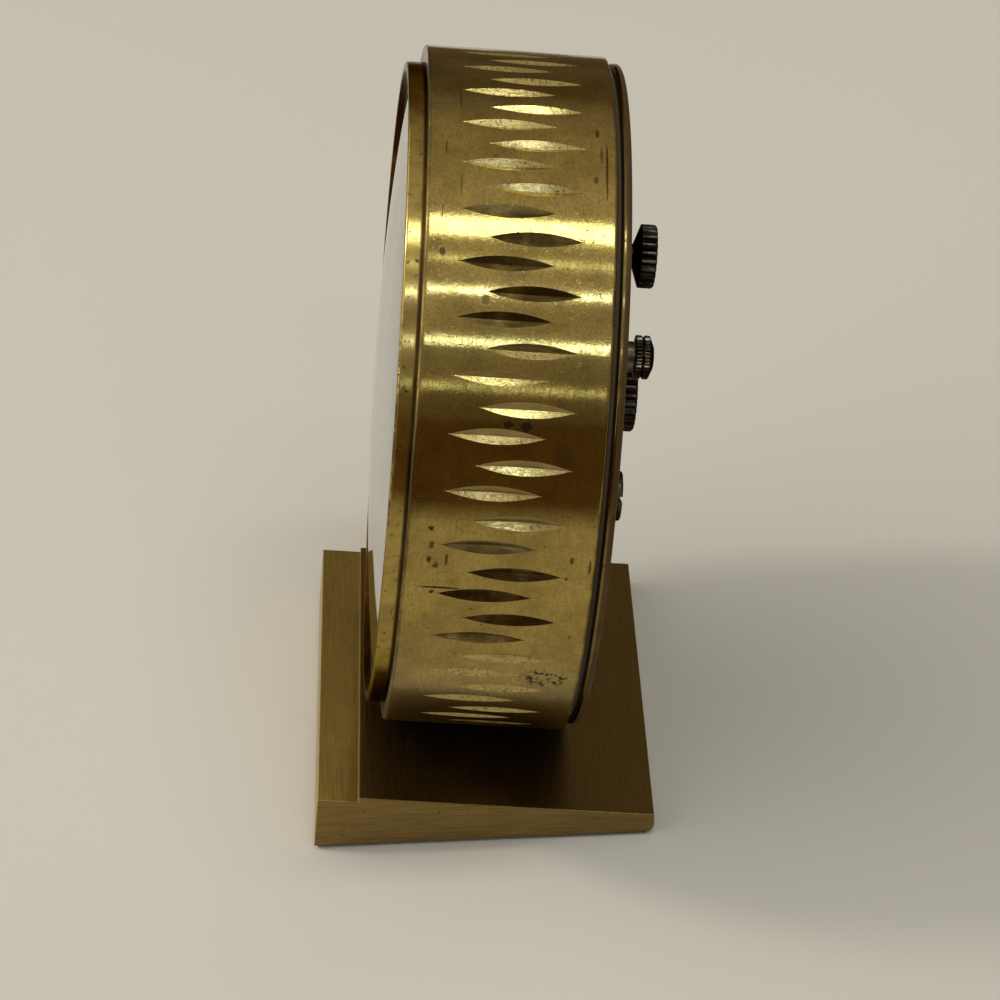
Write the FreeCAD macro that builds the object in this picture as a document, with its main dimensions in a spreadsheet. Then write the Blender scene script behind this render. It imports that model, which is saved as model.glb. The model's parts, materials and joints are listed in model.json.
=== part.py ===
import FreeCAD, Part
import math
import os
import re
import Sketcher

# Brass desk clock with a calendar, in millimetres.
# Row frame: +X to the clock's right, +Y to the rear, +Z up, origin under the middle of the base.
# The clock leans back with the slope of its base. Its own frame ("clock frame") has its origin in
# the middle of the drum, x to the right, y up along the dial and z out of the dial.

doc = FreeCAD.newDocument("DeskClock")
Vector = FreeCAD.Vector

# ---------------------------------------------------------------- driving sizes
FULL_TURN = 360.0
HALF_TURN = 180.0
RIGHT_ANGLE = 90.0
HOURS_ROUND = 12
MINUTES_ROUND = 60
# steps in one turn of a spiral, and the sweep of the wheel that makes a cut
SPIRAL_STEPS = 16
CUT_SWEEP = 30.0

SIZES = dict(
    # base
    base_width=65.4,
    base_length=45.3,
    base_front_height=7.8,
    slope_angle=6.9,
    ledge_length=5.4,
    ledge_step=0.7,
    base_tail_radius=1.2,
    felt_thickness=0.55,
    felt_inset=0.5,
    saddle_depth=0.05,
    # drum ring
    drum_radius=45.0,
    drum_depth=23.8,
    drum_bore_radius=41.0,
    drum_behind_ledge=14.6,
    ring_edge_chamfer=0.25,
    cut_count=39,
    front_cut_phase=2.0,
    rear_cut_phase=6.4,
    cut_depth=0.55,
    cut_wheel_radius=31.4,
    cut_half_angle=61.0,
    front_cut_level=1.65,
    rear_cut_level=-1.9,
    # bezel, crystal and flange
    bezel_radius=42.6,
    bezel_proud=2.4,
    bezel_front_land=1.2,
    spigot_length=1.0,
    crystal_radius=39.5,
    crystal_edge=1.2,
    crystal_recess=0.8,
    crystal_rise=2.2,
    gasket_width=0.4,
    crystal_lip=0.9,
    dial_view_radius=37.2,
    # rear rim and cover
    rim_radius=44.1,
    rim_thickness=1.15,
    rim_edge_round=0.5,
    rim_groove_radius=43.3,
    rim_groove_width=0.85,
    rim_opening_radius=39.6,
    rim_lip_gap=0.15,
    cover_radius=40.8,
    cover_thickness=1.0,
    rim_screw_circle=42.2,
    rim_screw_count=4,
    rim_screw_radius=0.6,
    rim_screw_head_radius=1.0,
    rim_screw_head_height=0.6,
    rim_screw_length=5.0,
    # base screws
    screw_radius=1.5,
    screw_head_radius=2.7,
    screw_head_height=1.4,
    screw_bite=2.6,
    base_screw_land=2.2,
    screw_half_gap=6.0,
    slot_width=0.5,
    slot_depth=0.4,
    hole_clearance=0.1,
    # fits
    running_fit=0.06,
    push_fit=0.02,
    end_shake=0.15,
    # movement frame
    plate_radius=38.0,
    rear_plate_radius=36.4,
    plate_thickness=1.6,
    front_plate_back=1.6,
    plate_gap=9.4,
    holder_wall=2.9,
    holder_lip_radius=36.8,
    holder_lip_height=1.2,
    pillar_circle=33.0,
    pillar_radius=1.8,
    pillar_screw_radius=0.8,
    pillar_screw_head=1.5,
    pillar_screw_head_height=0.8,
    pillar_screw_length=4.0,
    # dial
    dial_front=8.0,
    dial_thickness=0.6,
    dial_hole_radius=2.4,
    window_centre=28.4,
    window_width=5.6,
    window_height=4.4,
    marker_circle=33.6,
    marker_length=3.6,
    marker_width=0.9,
    marker_height=0.35,
    marker_count=12,
    # hands
    hour_hand_length=20.0,
    minute_hand_length=31.0,
    hand_tail=6.0,
    hand_boss_wall=1.2,
    hand_widest_share=0.62,
    hand_tip_width=0.16,
    hour_hand_width=2.2,
    minute_hand_width=1.7,
    hand_thickness=0.35,
    hour_hand_level=8.8,
    minute_hand_level=9.8,
    hand_nut_radius=1.5,
    hand_nut_height=0.8,
    hour_shown=10.0,
    minute_shown=8.0,
    # train: counts of teeth, modules and levels
    barrel_teeth=84,
    intermediate_pinion_teeth=12,
    barrel_module=0.32,
    intermediate_teeth=60,
    centre_pinion_teeth=12,
    intermediate_module=0.30,
    centre_teeth=80,
    third_pinion_teeth=10,
    centre_module=0.24,
    third_teeth=75,
    fourth_pinion_teeth=10,
    third_module=0.24,
    fourth_teeth=80,
    escape_pinion_teeth=8,
    fourth_module=0.20,
    third_direction=-20.0,
    fourth_direction=-70.0,
    wheel_thickness=0.4,
    pinion_length=1.0,
    arbor_radius=0.5,
    pivot_radius=0.3,
    intermediate_level=-0.9,
    centre_level=0.2,
    third_level=-3.2,
    fourth_level=-4.6,
    escape_level=-5.9,
    tooth_root_share=0.52,
    tooth_tip_share=0.24,
    tooth_addendum=0.75,
    tooth_dedendum=1.05,
    tooth_foot_share=0.2,
    # barrel and winding
    winding_height=21.0,
    barrel_radius=12.4,
    barrel_wall=0.6,
    barrel_back=-7.2,
    barrel_top=-1.6,
    barrel_tooth_rim=0.8,
    spring_thickness=0.35,
    spring_turns=6,
    winding_arbor_radius=0.9,
    barrel_arbor_radius=2.2,
    ratchet_teeth=24,
    ratchet_radius=6.4,
    ratchet_tooth_depth=0.7,
    ratchet_thickness=0.7,
    click_length=5.0,
    click_width=1.6,
    click_reach=9.5,
    click_thin=0.3,
    click_tip_gap=0.3,
    click_face_gap=1.0,
    click_post_radius=0.7,
    click_post_head=1.1,
    click_direction=35.0,
    # escapement
    escape_teeth=15,
    escape_radius=4.3,
    escape_rim_radius=3.4,
    fork_distance=5.0,
    fork_to_balance=7.4,
    pallet_gap=0.12,
    pallet_width=0.5,
    pallet_angle=31.0,
    pallet_root=1.2,
    fork_width=0.8,
    fork_notch=0.32,
    balance_turn=30.0,
    balance_drop=15.3,
    balance_radius=6.5,
    balance_rim_width=0.9,
    balance_rim_height=0.9,
    balance_level=-7.3,
    roller_radius=1.5,
    spring_well_radius=6.3,
    spring_coil_inset=1.0,
    hairspring_thickness=0.12,
    hairspring_height=0.8,
    hairspring_inset=0.4,
    spring_stud_height=1.2,
    hairspring_turns=8,
    cock_thickness=0.9,
    cock_width=4.0,
    cock_screw_half_gap=1.0,
    cock_foot_reach=10.2,
    regulator_arm_width=0.8,
    # motion work
    cannon_teeth=12,
    cannon_length=0.7,
    minute_wheel_teeth=36,
    cannon_module=0.35,
    minute_pinion_teeth=12,
    hour_wheel_teeth=48,
    hour_module=0.28,
    day_pinion_teeth=24,
    driver_teeth=48,
    day_module=0.37,
    minute_wheel_direction=225.0,
    driver_direction=-60.0,
    centre_arbor_radius=0.8,
    cannon_tube_radius=1.3,
    hour_tube_radius=1.9,
    post_radius=0.6,
    minute_wheel_level=3.5,
    hour_wheel_level=4.4,
    day_wheel_level=5.2,
    # calendar
    days=31,
    corrector_teeth=8,
    date_ring_back=6.2,
    date_ring_thickness=0.6,
    date_ring_radius=32.0,
    calendar_plate_inner=26.4,
    corrector_stem_radius=0.7,
    driver_finger_bite=1.4,
    driver_finger_width=1.0,
    driver_finger_tip=0.25,
    corrector_x=12.0,
    corrector_y=12.3,
    # knobs behind the cover
    winding_knob_radius=4.2,
    winding_knob_back=-19.8,
    winding_knob_rim=2.1,
    winding_knob_cone=0.95,
    winding_knob_hub=1.55,
    winding_knob_ridges=22,
    setting_knob_radius=4.65,
    setting_knob_back=-19.25,
    setting_knob_rim=2.1,
    setting_knob_hub=1.8,
    setting_knob_ridges=24,
    calendar_knob_radius=2.85,
    calendar_knob_back=-19.15,
    calendar_knob_rim=1.9,
    calendar_knob_dome=0.65,
    calendar_knob_shoulder=0.5,
    calendar_knob_ridges=36,
    calendar_tube_radius=2.0,
    regulator_knob_radius=3.4,
    regulator_knob_back=-18.85,
    regulator_knob_rim=1.8,
    regulator_knob_hub=1.6,
    regulator_slot_width=0.8,
    regulator_slot_depth=0.6,
    regulator_slot_turn=20,
    ridge_depth=0.3,
    fine_ridge_depth=0.14,
    knob_gap=0.2,
    bush_radius=1.6,
    bush_flange_radius=2.6,
    bush_flange_height=0.4,
)


def fill_sheet(name, cells):
    """Makes a sheet of plain numbers, one alias for each row."""
    sheet = doc.addObject("Spreadsheet::Sheet", name)
    for row, (alias, number) in enumerate(cells.items(), start=1):
        sheet.set("A%d" % row, alias)
        sheet.set("B%d" % row, str(number))
        sheet.setAlias("B%d" % row, alias)
    doc.recompute()
    return sheet


sizes = fill_sheet("Sizes", SIZES)


def read(alias):
    """The number in one named cell of the sheet of sizes."""
    return float(sizes.get(alias))


# ---------------------------------------------------------------- places worked out from the sizes
def polar(radius, degrees, start=(0.0, 0.0)):
    angle = math.radians(degrees)
    return (start[0] + radius * math.cos(angle), start[1] + radius * math.sin(angle))


def gear_distance(module, teeth, pinion):
    return read(module) * (read(teeth) + read(pinion)) / 2


def meet(first, first_distance, second, second_distance, side):
    """The point at the two given distances from two points, on the left (+1) or right (-1)."""
    dx = second[0] - first[0]
    dy = second[1] - first[1]
    apart = math.hypot(dx, dy)
    along = (first_distance ** 2 - second_distance ** 2 + apart ** 2) / (2 * apart)
    off = side * math.sqrt(first_distance ** 2 - along ** 2)
    return (first[0] + (along * dx - off * dy) / apart, first[1] + (along * dy + off * dx) / apart)


def direction(start, end):
    return math.degrees(math.atan2(end[1] - start[1], end[0] - start[0]))


barrel_distance = gear_distance("barrel_module", "barrel_teeth", "intermediate_pinion_teeth")
intermediate_distance = gear_distance("intermediate_module", "intermediate_teeth", "centre_pinion_teeth")
centre_distance = gear_distance("centre_module", "centre_teeth", "third_pinion_teeth")
third_distance = gear_distance("third_module", "third_teeth", "fourth_pinion_teeth")
fourth_distance = gear_distance("fourth_module", "fourth_teeth", "escape_pinion_teeth")
cannon_distance = gear_distance("cannon_module", "cannon_teeth", "minute_wheel_teeth")
day_distance = gear_distance("day_module", "day_pinion_teeth", "driver_teeth")
escapement_length = read("fork_distance") + read("fork_to_balance")

centre_at = (0.0, 0.0)
barrel_at = (0.0, read("winding_height"))
balance_at = (0.0, -read("balance_drop"))
corrector_at = (read("corrector_x"), read("corrector_y"))
intermediate_at = meet(centre_at, intermediate_distance, barrel_at, barrel_distance, 1)
third_at = polar(centre_distance, read("third_direction"))
fourth_at = polar(third_distance, read("fourth_direction"), third_at)
escape_at = meet(balance_at, escapement_length, fourth_at, fourth_distance, -1)
fork_at = polar(read("fork_distance"), direction(escape_at, balance_at), escape_at)
minute_wheel_at = polar(cannon_distance, read("minute_wheel_direction"))
driver_at = polar(day_distance, read("driver_direction"))
click_at = polar(read("click_reach"), read("click_direction"), barrel_at)
click_nose_radius = read("ratchet_radius") - read("ratchet_tooth_depth") + read("click_tip_gap")
click_nose_at = meet(barrel_at, click_nose_radius, click_at, read("click_length"), -1)
cock_foot_at = polar(read("cock_foot_reach"), HALF_TURN, balance_at)

drum_half = read("drum_depth") / 2
slope = math.radians(read("slope_angle"))
front_plate_front = read("front_plate_back") + read("plate_thickness")
rear_plate_front = read("front_plate_back") - read("plate_gap")
rear_plate_back = rear_plate_front - read("plate_thickness")
bezel_front = drum_half + read("bezel_proud")
crystal_front = bezel_front - read("crystal_recess")
cover_back = -drum_half - read("rim_groove_width") + read("rim_lip_gap")
cover_front = cover_back + read("cover_thickness")
rim_back = -drum_half - read("rim_groove_width") - read("rim_thickness")
date_module = 2 * math.hypot(*corrector_at) / (read("days") - read("corrector_teeth"))

# The base outline in the slope frame: y down the slope from the front edge, z square to the slope.
front_edge_y = -read("base_length") / 2 + read("base_front_height") * math.tan(slope)
front_edge_height = read("base_front_height")


def to_slope(y, z):
    """A point of the row frame, in the slope frame whose origin is the base's front top edge."""
    dy = y - front_edge_y
    dz = z - front_edge_height
    return (dy * math.cos(slope) - dz * math.sin(slope), dy * math.sin(slope) + dz * math.cos(slope))


def slope_cut(y):
    """Where the main slope meets an upright line at y of the row frame, in the slope frame."""
    foot = to_slope(y, 0.0)
    rise = (read("ledge_step") - foot[1]) / math.cos(slope)
    return to_slope(y, rise)


bottom_front_z = -(front_edge_height - read("felt_thickness")) / math.cos(slope)
top_rear = slope_cut(read("base_length") / 2)
drum_on_slope = read("ledge_length") + read("drum_behind_ledge")
drum_height = read("ledge_step") + read("drum_radius") - read("saddle_depth")

PLACES = dict(
    bottom_front_z=bottom_front_z,
    top_rear_y=top_rear[0],
    drum_on_slope=drum_on_slope,
    drum_height=drum_height,
    front_plate_front=front_plate_front,
    rear_plate_front=rear_plate_front,
    rear_plate_back=rear_plate_back,
    drum_half=drum_half,
    bezel_front=bezel_front,
    crystal_front=crystal_front,
    cover_back=cover_back,
    cover_front=cover_front,
    rim_back=rim_back,
    date_module=date_module,
)
for label, spot in dict(barrel=barrel_at, intermediate=intermediate_at, centre=centre_at,
                        third=third_at, fourth=fourth_at, escape=escape_at, fork=fork_at,
                        balance=balance_at, minute_wheel=minute_wheel_at, driver=driver_at,
                        corrector=corrector_at, click=click_at, cock_foot=cock_foot_at).items():
    PLACES[label + "_x"] = spot[0]
    PLACES[label + "_y"] = spot[1]
TAIL_STEPS = 5
for step in range(TAIL_STEPS + 1):
    turn = math.radians(90.0 * step / TAIL_STEPS)
    tail = to_slope(
        read("base_length") / 2 - read("base_tail_radius") * (1 - math.sin(turn)),
        read("felt_thickness") + read("base_tail_radius") * (1 - math.cos(turn)))
    PLACES["tail_%d_y" % step] = tail[0]
    PLACES["tail_%d_z" % step] = tail[1]
places = fill_sheet("Places", PLACES)


# ---------------------------------------------------------------- tools for building
def full(text):
    """Writes the sheet's name before each alias of an expression."""
    def name(found):
        word = found.group()
        if word in SIZES:
            return "Sizes." + word
        if word in PLACES:
            return "Places." + word
        return word
    return re.sub(r"[a-z_][a-z_0-9]*", name, str(text))


def number(text):
    return float(sizes.evalExpression(full(text)))


def bind(thing, prop, text):
    thing.setExpression(prop, full(text))


def origin_part(body, role):
    return [o for o in body.Origin.OriginFeatures if o.Role == role][0]


def new_body(label):
    body = doc.addObject("PartDesign::Body", label)
    body.Label = label
    return body


def sketch_on(body, role, lift="0"):
    sketch = body.newObject("Sketcher::SketchObject", "sketch")
    sketch.AttachmentSupport = (origin_part(body, role), "")
    sketch.MapMode = "FlatFace"
    bind(sketch, "AttachmentOffset.Base.z", lift)
    return sketch


def fix_point(sketch, geometry, point, x, y):
    """Ties a point of the sketch to two expressions."""
    for kind, axis, text in (("DistanceX", -2, x), ("DistanceY", -1, y)):
        if str(text) == "0":
            sketch.addConstraint(Sketcher.Constraint("PointOnObject", geometry, point, axis))
        else:
            rule = Sketcher.Constraint(kind, -1, 1, geometry, point, number(text))
            bind(sketch, "Constraints[%d]" % sketch.addConstraint(rule), text)


def outline(sketch, points):
    """A closed outline of straight lines through points given as pairs of expressions."""
    spots = [Vector(number(x), number(y), 0) for x, y in points]
    first = sketch.GeometryCount
    count = len(spots)
    for index in range(count):
        sketch.addGeometry(Part.LineSegment(spots[index], spots[(index + 1) % count]), False)
    for index in range(count):
        after = first + (index + 1) % count
        sketch.addConstraint(Sketcher.Constraint("Coincident", first + index, 2, after, 1))
    for index, (x, y) in enumerate(points):
        fix_point(sketch, first + index, 1, x, y)


def circle(sketch, x, y, radius):
    ring = Part.Circle(Vector(number(x), number(y), 0), Vector(0, 0, 1), number(radius))
    index = sketch.addGeometry(ring, False)
    rule = sketch.addConstraint(Sketcher.Constraint("Radius", index, number(radius)))
    bind(sketch, "Constraints[%d]" % rule, radius)
    fix_point(sketch, index, 3, x, y)


def revolve(body, points):
    """Turns an outline of (radius, height) points about the body's own z axis."""
    sketch = sketch_on(body, "XZ_Plane")
    outline(sketch, points)
    feature = body.newObject("PartDesign::Revolution", "turned")
    feature.Profile = sketch
    feature.ReferenceAxis = (sketch, ["V_Axis"])
    feature.Angle = FULL_TURN
    return feature


def pad(body, sketch, length):
    feature = body.newObject("PartDesign::Pad", "raised")
    feature.Profile = sketch
    bind(feature, "Length", length)
    return feature


def pocket(body, sketch, depth):
    """Cuts down from the sketch, against its plane's normal."""
    feature = body.newObject("PartDesign::Pocket", "cut")
    feature.Profile = sketch
    feature.Type = "Length"
    bind(feature, "Length", depth)
    return feature


def pattern(body, features, count):
    """Repeats features evenly round the body's z axis."""
    feature = body.newObject("PartDesign::PolarPattern", "round")
    feature.Originals = features
    feature.Axis = (origin_part(body, "Z_Axis"), [""])
    feature.Angle = FULL_TURN
    bind(feature, "Occurrences", count)
    body.Tip = feature
    return feature


def disc(body, radius, back, thickness):
    sketch = sketch_on(body, "XY_Plane", back)
    circle(sketch, "0", "0", radius)
    return pad(body, sketch, thickness)


def drill(body, spots, front, depth):
    """Round holes from the level front down by depth: spots are (x, y, radius)."""
    sketch = sketch_on(body, "XY_Plane", front)
    for x, y, radius in spots:
        circle(sketch, x, y, radius)
    return pocket(body, sketch, depth)


def at(name):
    return ("%s_x" % name, "%s_y" % name)


# ---------------------------------------------------------------- the two frames
slope_frame = FreeCAD.Placement(
    Vector(0, front_edge_y, front_edge_height),
    FreeCAD.Rotation(Vector(1, 0, 0), -read("slope_angle")))
drum_middle = slope_frame.multVec(Vector(0, drum_on_slope, drum_height))
clock_frame = FreeCAD.Placement(
    drum_middle, FreeCAD.Rotation(Vector(1, 0, 0), 90 - read("slope_angle")))


def seat(part, spot=(0.0, 0.0), turn=0.0):
    """Places a part of the clock with its z axis through a point of the dial plane."""
    local = FreeCAD.Placement(Vector(spot[0], spot[1], 0), FreeCAD.Rotation(Vector(0, 0, 1), turn))
    part.Placement = clock_frame.multiply(local)
    return part


# ---------------------------------------------------------------- toothed wheels
def mesh_turn(line, teeth, turn, mate_teeth, inside=False):
    """The turn that lets a mate's gap meet a wheel's tooth. line runs from wheel to mate."""
    share = ((line - turn) * teeth / FULL_TURN) % 1.0
    if inside:
        return line + (0.5 - share) * FULL_TURN / mate_teeth
    return line + HALF_TURN + (0.5 + share) * FULL_TURN / mate_teeth


def teeth_ring(body, teeth, module, back, thickness):
    """A disc with straight-sided teeth; the first tooth lies on the body's x axis."""
    middle = "(%s * %s / 2)" % (teeth, module)
    root = "(%s - tooth_dedendum * %s)" % (middle, module)
    tip = "(%s + tooth_addendum * %s)" % (middle, module)
    root_half = "(pi * %s * tooth_root_share / 2)" % module
    tip_half = "(pi * %s * tooth_tip_share / 2)" % module
    inner = "(%s - tooth_foot_share * %s)" % (root, module)
    disc(body, root, back, thickness)
    sketch = sketch_on(body, "XY_Plane", back)
    outline(sketch, [(inner, "0 - " + root_half), (tip, "0 - " + tip_half),
                     (tip, tip_half), (inner, root_half)])
    tooth = pad(body, sketch, thickness)
    return pattern(body, [tooth], teeth)


def arbor(body, back="rear_plate_front", pivot="plate_thickness"):
    """A spindle with a pivot at each end, between a back level and the front plate."""
    front = "front_plate_back"
    revolve(body, [
        ("0", "(%s) - %s + end_shake" % (back, pivot)),
        ("pivot_radius", "(%s) - %s + end_shake" % (back, pivot)),
        ("pivot_radius", "(%s) + end_shake" % back),
        ("arbor_radius", "(%s) + end_shake" % back),
        ("arbor_radius", "(%s) - end_shake" % front),
        ("pivot_radius", "(%s) - end_shake" % front),
        ("pivot_radius", "(%s) + plate_thickness - end_shake" % front),
        ("0", "(%s) + plate_thickness - end_shake" % front)])


def train_wheel(label, spot, turn, wheel, pinion):
    """A wheel and pinion on one arbor between the plates."""
    body = new_body(label)
    arbor(body)
    teeth_ring(body, pinion[0], pinion[1], pinion[2], "pinion_length")
    teeth_ring(body, wheel[0], wheel[1], wheel[2], "wheel_thickness")
    return seat(body, spot, turn)


barrel_turn = 0.0
ratchet_turn = direction(barrel_at, click_nose_at) - read("click_face_gap")
intermediate_turn = mesh_turn(direction(barrel_at, intermediate_at), read("barrel_teeth"),
                              barrel_turn, read("intermediate_pinion_teeth"))
centre_turn = mesh_turn(direction(intermediate_at, centre_at), read("intermediate_teeth"),
                        intermediate_turn, read("centre_pinion_teeth"))
third_turn = mesh_turn(direction(centre_at, third_at), read("centre_teeth"),
                       centre_turn, read("third_pinion_teeth"))
fourth_turn = mesh_turn(direction(third_at, fourth_at), read("third_teeth"),
                        third_turn, read("fourth_pinion_teeth"))
escape_turn = mesh_turn(direction(fourth_at, escape_at), read("fourth_teeth"),
                        fourth_turn, read("escape_pinion_teeth"))
minute_turn = mesh_turn(read("minute_wheel_direction"), read("cannon_teeth"),
                        0.0, read("minute_wheel_teeth"))
hour_turn = mesh_turn(direction(minute_wheel_at, centre_at), read("minute_pinion_teeth"),
                      minute_turn, read("hour_wheel_teeth"))
driver_turn = mesh_turn(read("driver_direction"), read("day_pinion_teeth"),
                        hour_turn, read("driver_teeth"))
corrector_turn = mesh_turn(direction(centre_at, corrector_at), read("days"),
                           0.0, read("corrector_teeth"), inside=True)


# ---------------------------------------------------------------- base
def base_block():
    body = new_body("base_block")
    sketch = sketch_on(body, "YZ_Plane")
    tail = [("tail_%d_y" % step, "tail_%d_z" % step) for step in range(TAIL_STEPS + 1)]
    outline(sketch, [("0", "bottom_front_z")] + tail + [
        ("top_rear_y", "ledge_step"), ("ledge_length", "ledge_step"),
        ("ledge_length", "0"), ("0", "0")])
    block = pad(body, sketch, "base_width")
    block.Midplane = True
    saddle = sketch_on(body, "XZ_Plane", "0 - drum_on_slope - drum_half - hole_clearance")
    circle(saddle, "0", "drum_height", "drum_radius")
    hollow = body.newObject("PartDesign::Pocket", "saddle")
    hollow.Profile = saddle
    hollow.Type = "Length"
    hollow.Reversed = True
    bind(hollow, "Length", "drum_depth + 2 * hole_clearance")
    shafts = sketch_on(body, "XY_Plane", "ledge_step")
    heads = sketch_on(body, "XY_Plane", "ledge_step - base_screw_land")
    for side in ("-", "+"):
        along = "drum_on_slope %s screw_half_gap" % side
        circle(shafts, "0", along, "screw_radius + hole_clearance")
        circle(heads, "0", along, "screw_head_radius + hole_clearance")
    pocket(body, shafts, "base_front_height + ledge_step")
    pocket(body, heads, "base_front_height + ledge_step")
    body.Placement = slope_frame
    return body


def base_felt_pad():
    body = new_body("base_felt_pad")
    sketch = sketch_on(body, "XY_Plane")
    half_x = "base_width / 2 - felt_inset"
    front_y = "felt_inset - base_length / 2"
    rear_y = "base_length / 2 - base_tail_radius"
    outline(sketch, [
        ("0 - (%s)" % half_x, front_y), (half_x, front_y),
        (half_x, rear_y), ("0 - (%s)" % half_x, rear_y)])
    pad(body, sketch, "felt_thickness")
    return body


def base_screws():
    body = new_body("base_screws")
    top = "ledge_step - base_screw_land"
    heads = sketch_on(body, "XY_Plane", top + " - screw_head_height")
    shafts = sketch_on(body, "XY_Plane", top)
    slots = sketch_on(body, "XY_Plane", top + " - screw_head_height")
    for side in ("-", "+"):
        along = "drum_on_slope %s screw_half_gap" % side
        circle(heads, "0", along, "screw_head_radius")
        circle(shafts, "0", along, "screw_radius")
        outline(slots, [
            ("0 - screw_head_radius", along + " - slot_width / 2"),
            ("screw_head_radius", along + " - slot_width / 2"),
            ("screw_head_radius", along + " + slot_width / 2"),
            ("0 - screw_head_radius", along + " + slot_width / 2")])
    pad(body, heads, "screw_head_height")
    pad(body, shafts, "base_screw_land - saddle_depth + screw_bite")
    cut = pocket(body, slots, "slot_depth")
    cut.Reversed = True
    body.Placement = slope_frame
    return body


# ---------------------------------------------------------------- drum, bezel, crystal, rear rim
def drum_ring():
    body = new_body("drum_ring")
    revolve(body, [
        ("drum_bore_radius", "0 - drum_half"),
        ("drum_radius - ring_edge_chamfer", "0 - drum_half"),
        ("drum_radius", "0 - drum_half + ring_edge_chamfer"),
        ("drum_radius", "drum_half - ring_edge_chamfer"),
        ("drum_radius - ring_edge_chamfer", "drum_half"),
        ("drum_bore_radius", "drum_half")])
    for level, phase in (("front_cut_level", "front_cut_phase"), ("rear_cut_level", "rear_cut_phase")):
        cut_row(body, level, phase)
    screw_holes = sketch_on(body, "XY_Plane", "0 - drum_half")
    circle(screw_holes, "rim_screw_circle", "0", "rim_screw_radius")
    hole = pocket(body, screw_holes, "rim_screw_length")
    hole.Reversed = True
    pattern(body, [hole], "rim_screw_count")
    base_holes = sketch_on(body, "XZ_Plane", "drum_radius")
    circle(base_holes, "0", "screw_half_gap", "screw_radius")
    circle(base_holes, "0", "0 - screw_half_gap", "screw_radius")
    pocket(body, base_holes, "screw_bite + hole_clearance")
    return seat(body)


def cut_row(body, level, phase):
    """One row of lens-shaped V cuts, each made by a wheel with a V edge that runs along the drum."""
    sketch = sketch_on(body, "XY_Plane", level)
    bind(sketch, "AttachmentOffset.Rotation.Angle", phase)
    tip = "drum_radius - cut_depth"
    spread = "(cut_depth + ring_edge_chamfer) * tan(cut_half_angle)"
    outline(sketch, [
        (tip, "0"),
        ("drum_radius + ring_edge_chamfer", spread),
        ("drum_radius + ring_edge_chamfer", "0 - " + spread)])
    wheel_middle = number(tip + " + cut_wheel_radius")
    low_end = Vector(wheel_middle, -number("cut_depth"), 0)
    high_end = Vector(wheel_middle, number("cut_depth"), 0)
    axle = sketch.addGeometry(Part.LineSegment(low_end, high_end), True)
    fix_point(sketch, axle, 1, tip + " + cut_wheel_radius", "0 - cut_depth")
    fix_point(sketch, axle, 2, tip + " + cut_wheel_radius", "cut_depth")
    groove = body.newObject("PartDesign::Groove", "v_cut")
    groove.Profile = sketch
    groove.ReferenceAxis = (sketch, ["Axis0"])
    groove.Angle = CUT_SWEEP
    groove.Midplane = True
    pattern(body, [groove], "cut_count")


def front_bezel():
    body = new_body("front_bezel")
    revolve(body, [
        ("drum_bore_radius - push_fit", "drum_half - spigot_length"),
        ("drum_bore_radius - push_fit", "drum_half"),
        ("bezel_radius", "drum_half"),
        ("bezel_radius", "bezel_front - ring_edge_chamfer"),
        ("bezel_radius - ring_edge_chamfer", "bezel_front"),
        ("bezel_radius - bezel_front_land", "bezel_front"),
        ("crystal_radius + gasket_width", "crystal_front"),
        ("crystal_radius + gasket_width", "crystal_front - crystal_edge"),
        ("crystal_radius - crystal_lip", "crystal_front - crystal_edge"),
        ("crystal_radius - crystal_lip", "drum_half - spigot_length")])
    return seat(body)


def crystal():
    """A thin dome: its front is a shallow cap, and its back follows at the same thickness."""
    body = new_body("crystal")
    sketch = sketch_on(body, "XZ_Plane")
    radius = "(crystal_radius ^ 2 + crystal_rise ^ 2) / (2 * crystal_rise)"
    rims = []
    tops = []
    for level in ("crystal_front", "crystal_front - crystal_edge"):
        top = level + " + crystal_rise"
        span = math.degrees(math.asin(number("crystal_radius") / number(radius)))
        middle = Vector(0, number(top) - number(radius), 0)
        round_shape = Part.Circle(middle, Vector(0, 0, 1), number(radius))
        start = math.radians(RIGHT_ANGLE - span)
        arc = sketch.addGeometry(Part.ArcOfCircle(round_shape, start, math.pi / 2), False)
        rule = sketch.addConstraint(Sketcher.Constraint("Radius", arc, number(radius)))
        bind(sketch, "Constraints[%d]" % rule, radius)
        fix_point(sketch, arc, 1, "crystal_radius", level)
        fix_point(sketch, arc, 2, "0", top)
        rims.append(sketch.Geometry[arc].StartPoint)
        tops.append(sketch.Geometry[arc].EndPoint)
    for pair, point in ((rims, 1), (tops, 2)):
        line = sketch.addGeometry(Part.LineSegment(pair[0], pair[1]), False)
        sketch.addConstraint(Sketcher.Constraint("Coincident", line, 1, 0, point))
        sketch.addConstraint(Sketcher.Constraint("Coincident", line, 2, 1, point))
    feature = body.newObject("PartDesign::Revolution", "dome")
    feature.Profile = sketch
    feature.ReferenceAxis = (sketch, ["V_Axis"])
    feature.Angle = FULL_TURN
    return seat(body)


def crystal_gasket():
    body = new_body("crystal_gasket")
    revolve(body, [
        ("crystal_radius", "crystal_front - crystal_edge"),
        ("crystal_radius + gasket_width", "crystal_front - crystal_edge"),
        ("crystal_radius + gasket_width", "crystal_front"),
        ("crystal_radius", "crystal_front")])
    return seat(body)


def dial_flange():
    """The sloping ring between the dial and the crystal."""
    body = new_body("dial_flange")
    revolve(body, [
        ("dial_view_radius", "dial_front"),
        ("drum_bore_radius - push_fit", "dial_front"),
        ("drum_bore_radius - push_fit", "drum_half - spigot_length"),
        ("crystal_radius - crystal_lip", "drum_half - spigot_length")])
    return seat(body)


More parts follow.
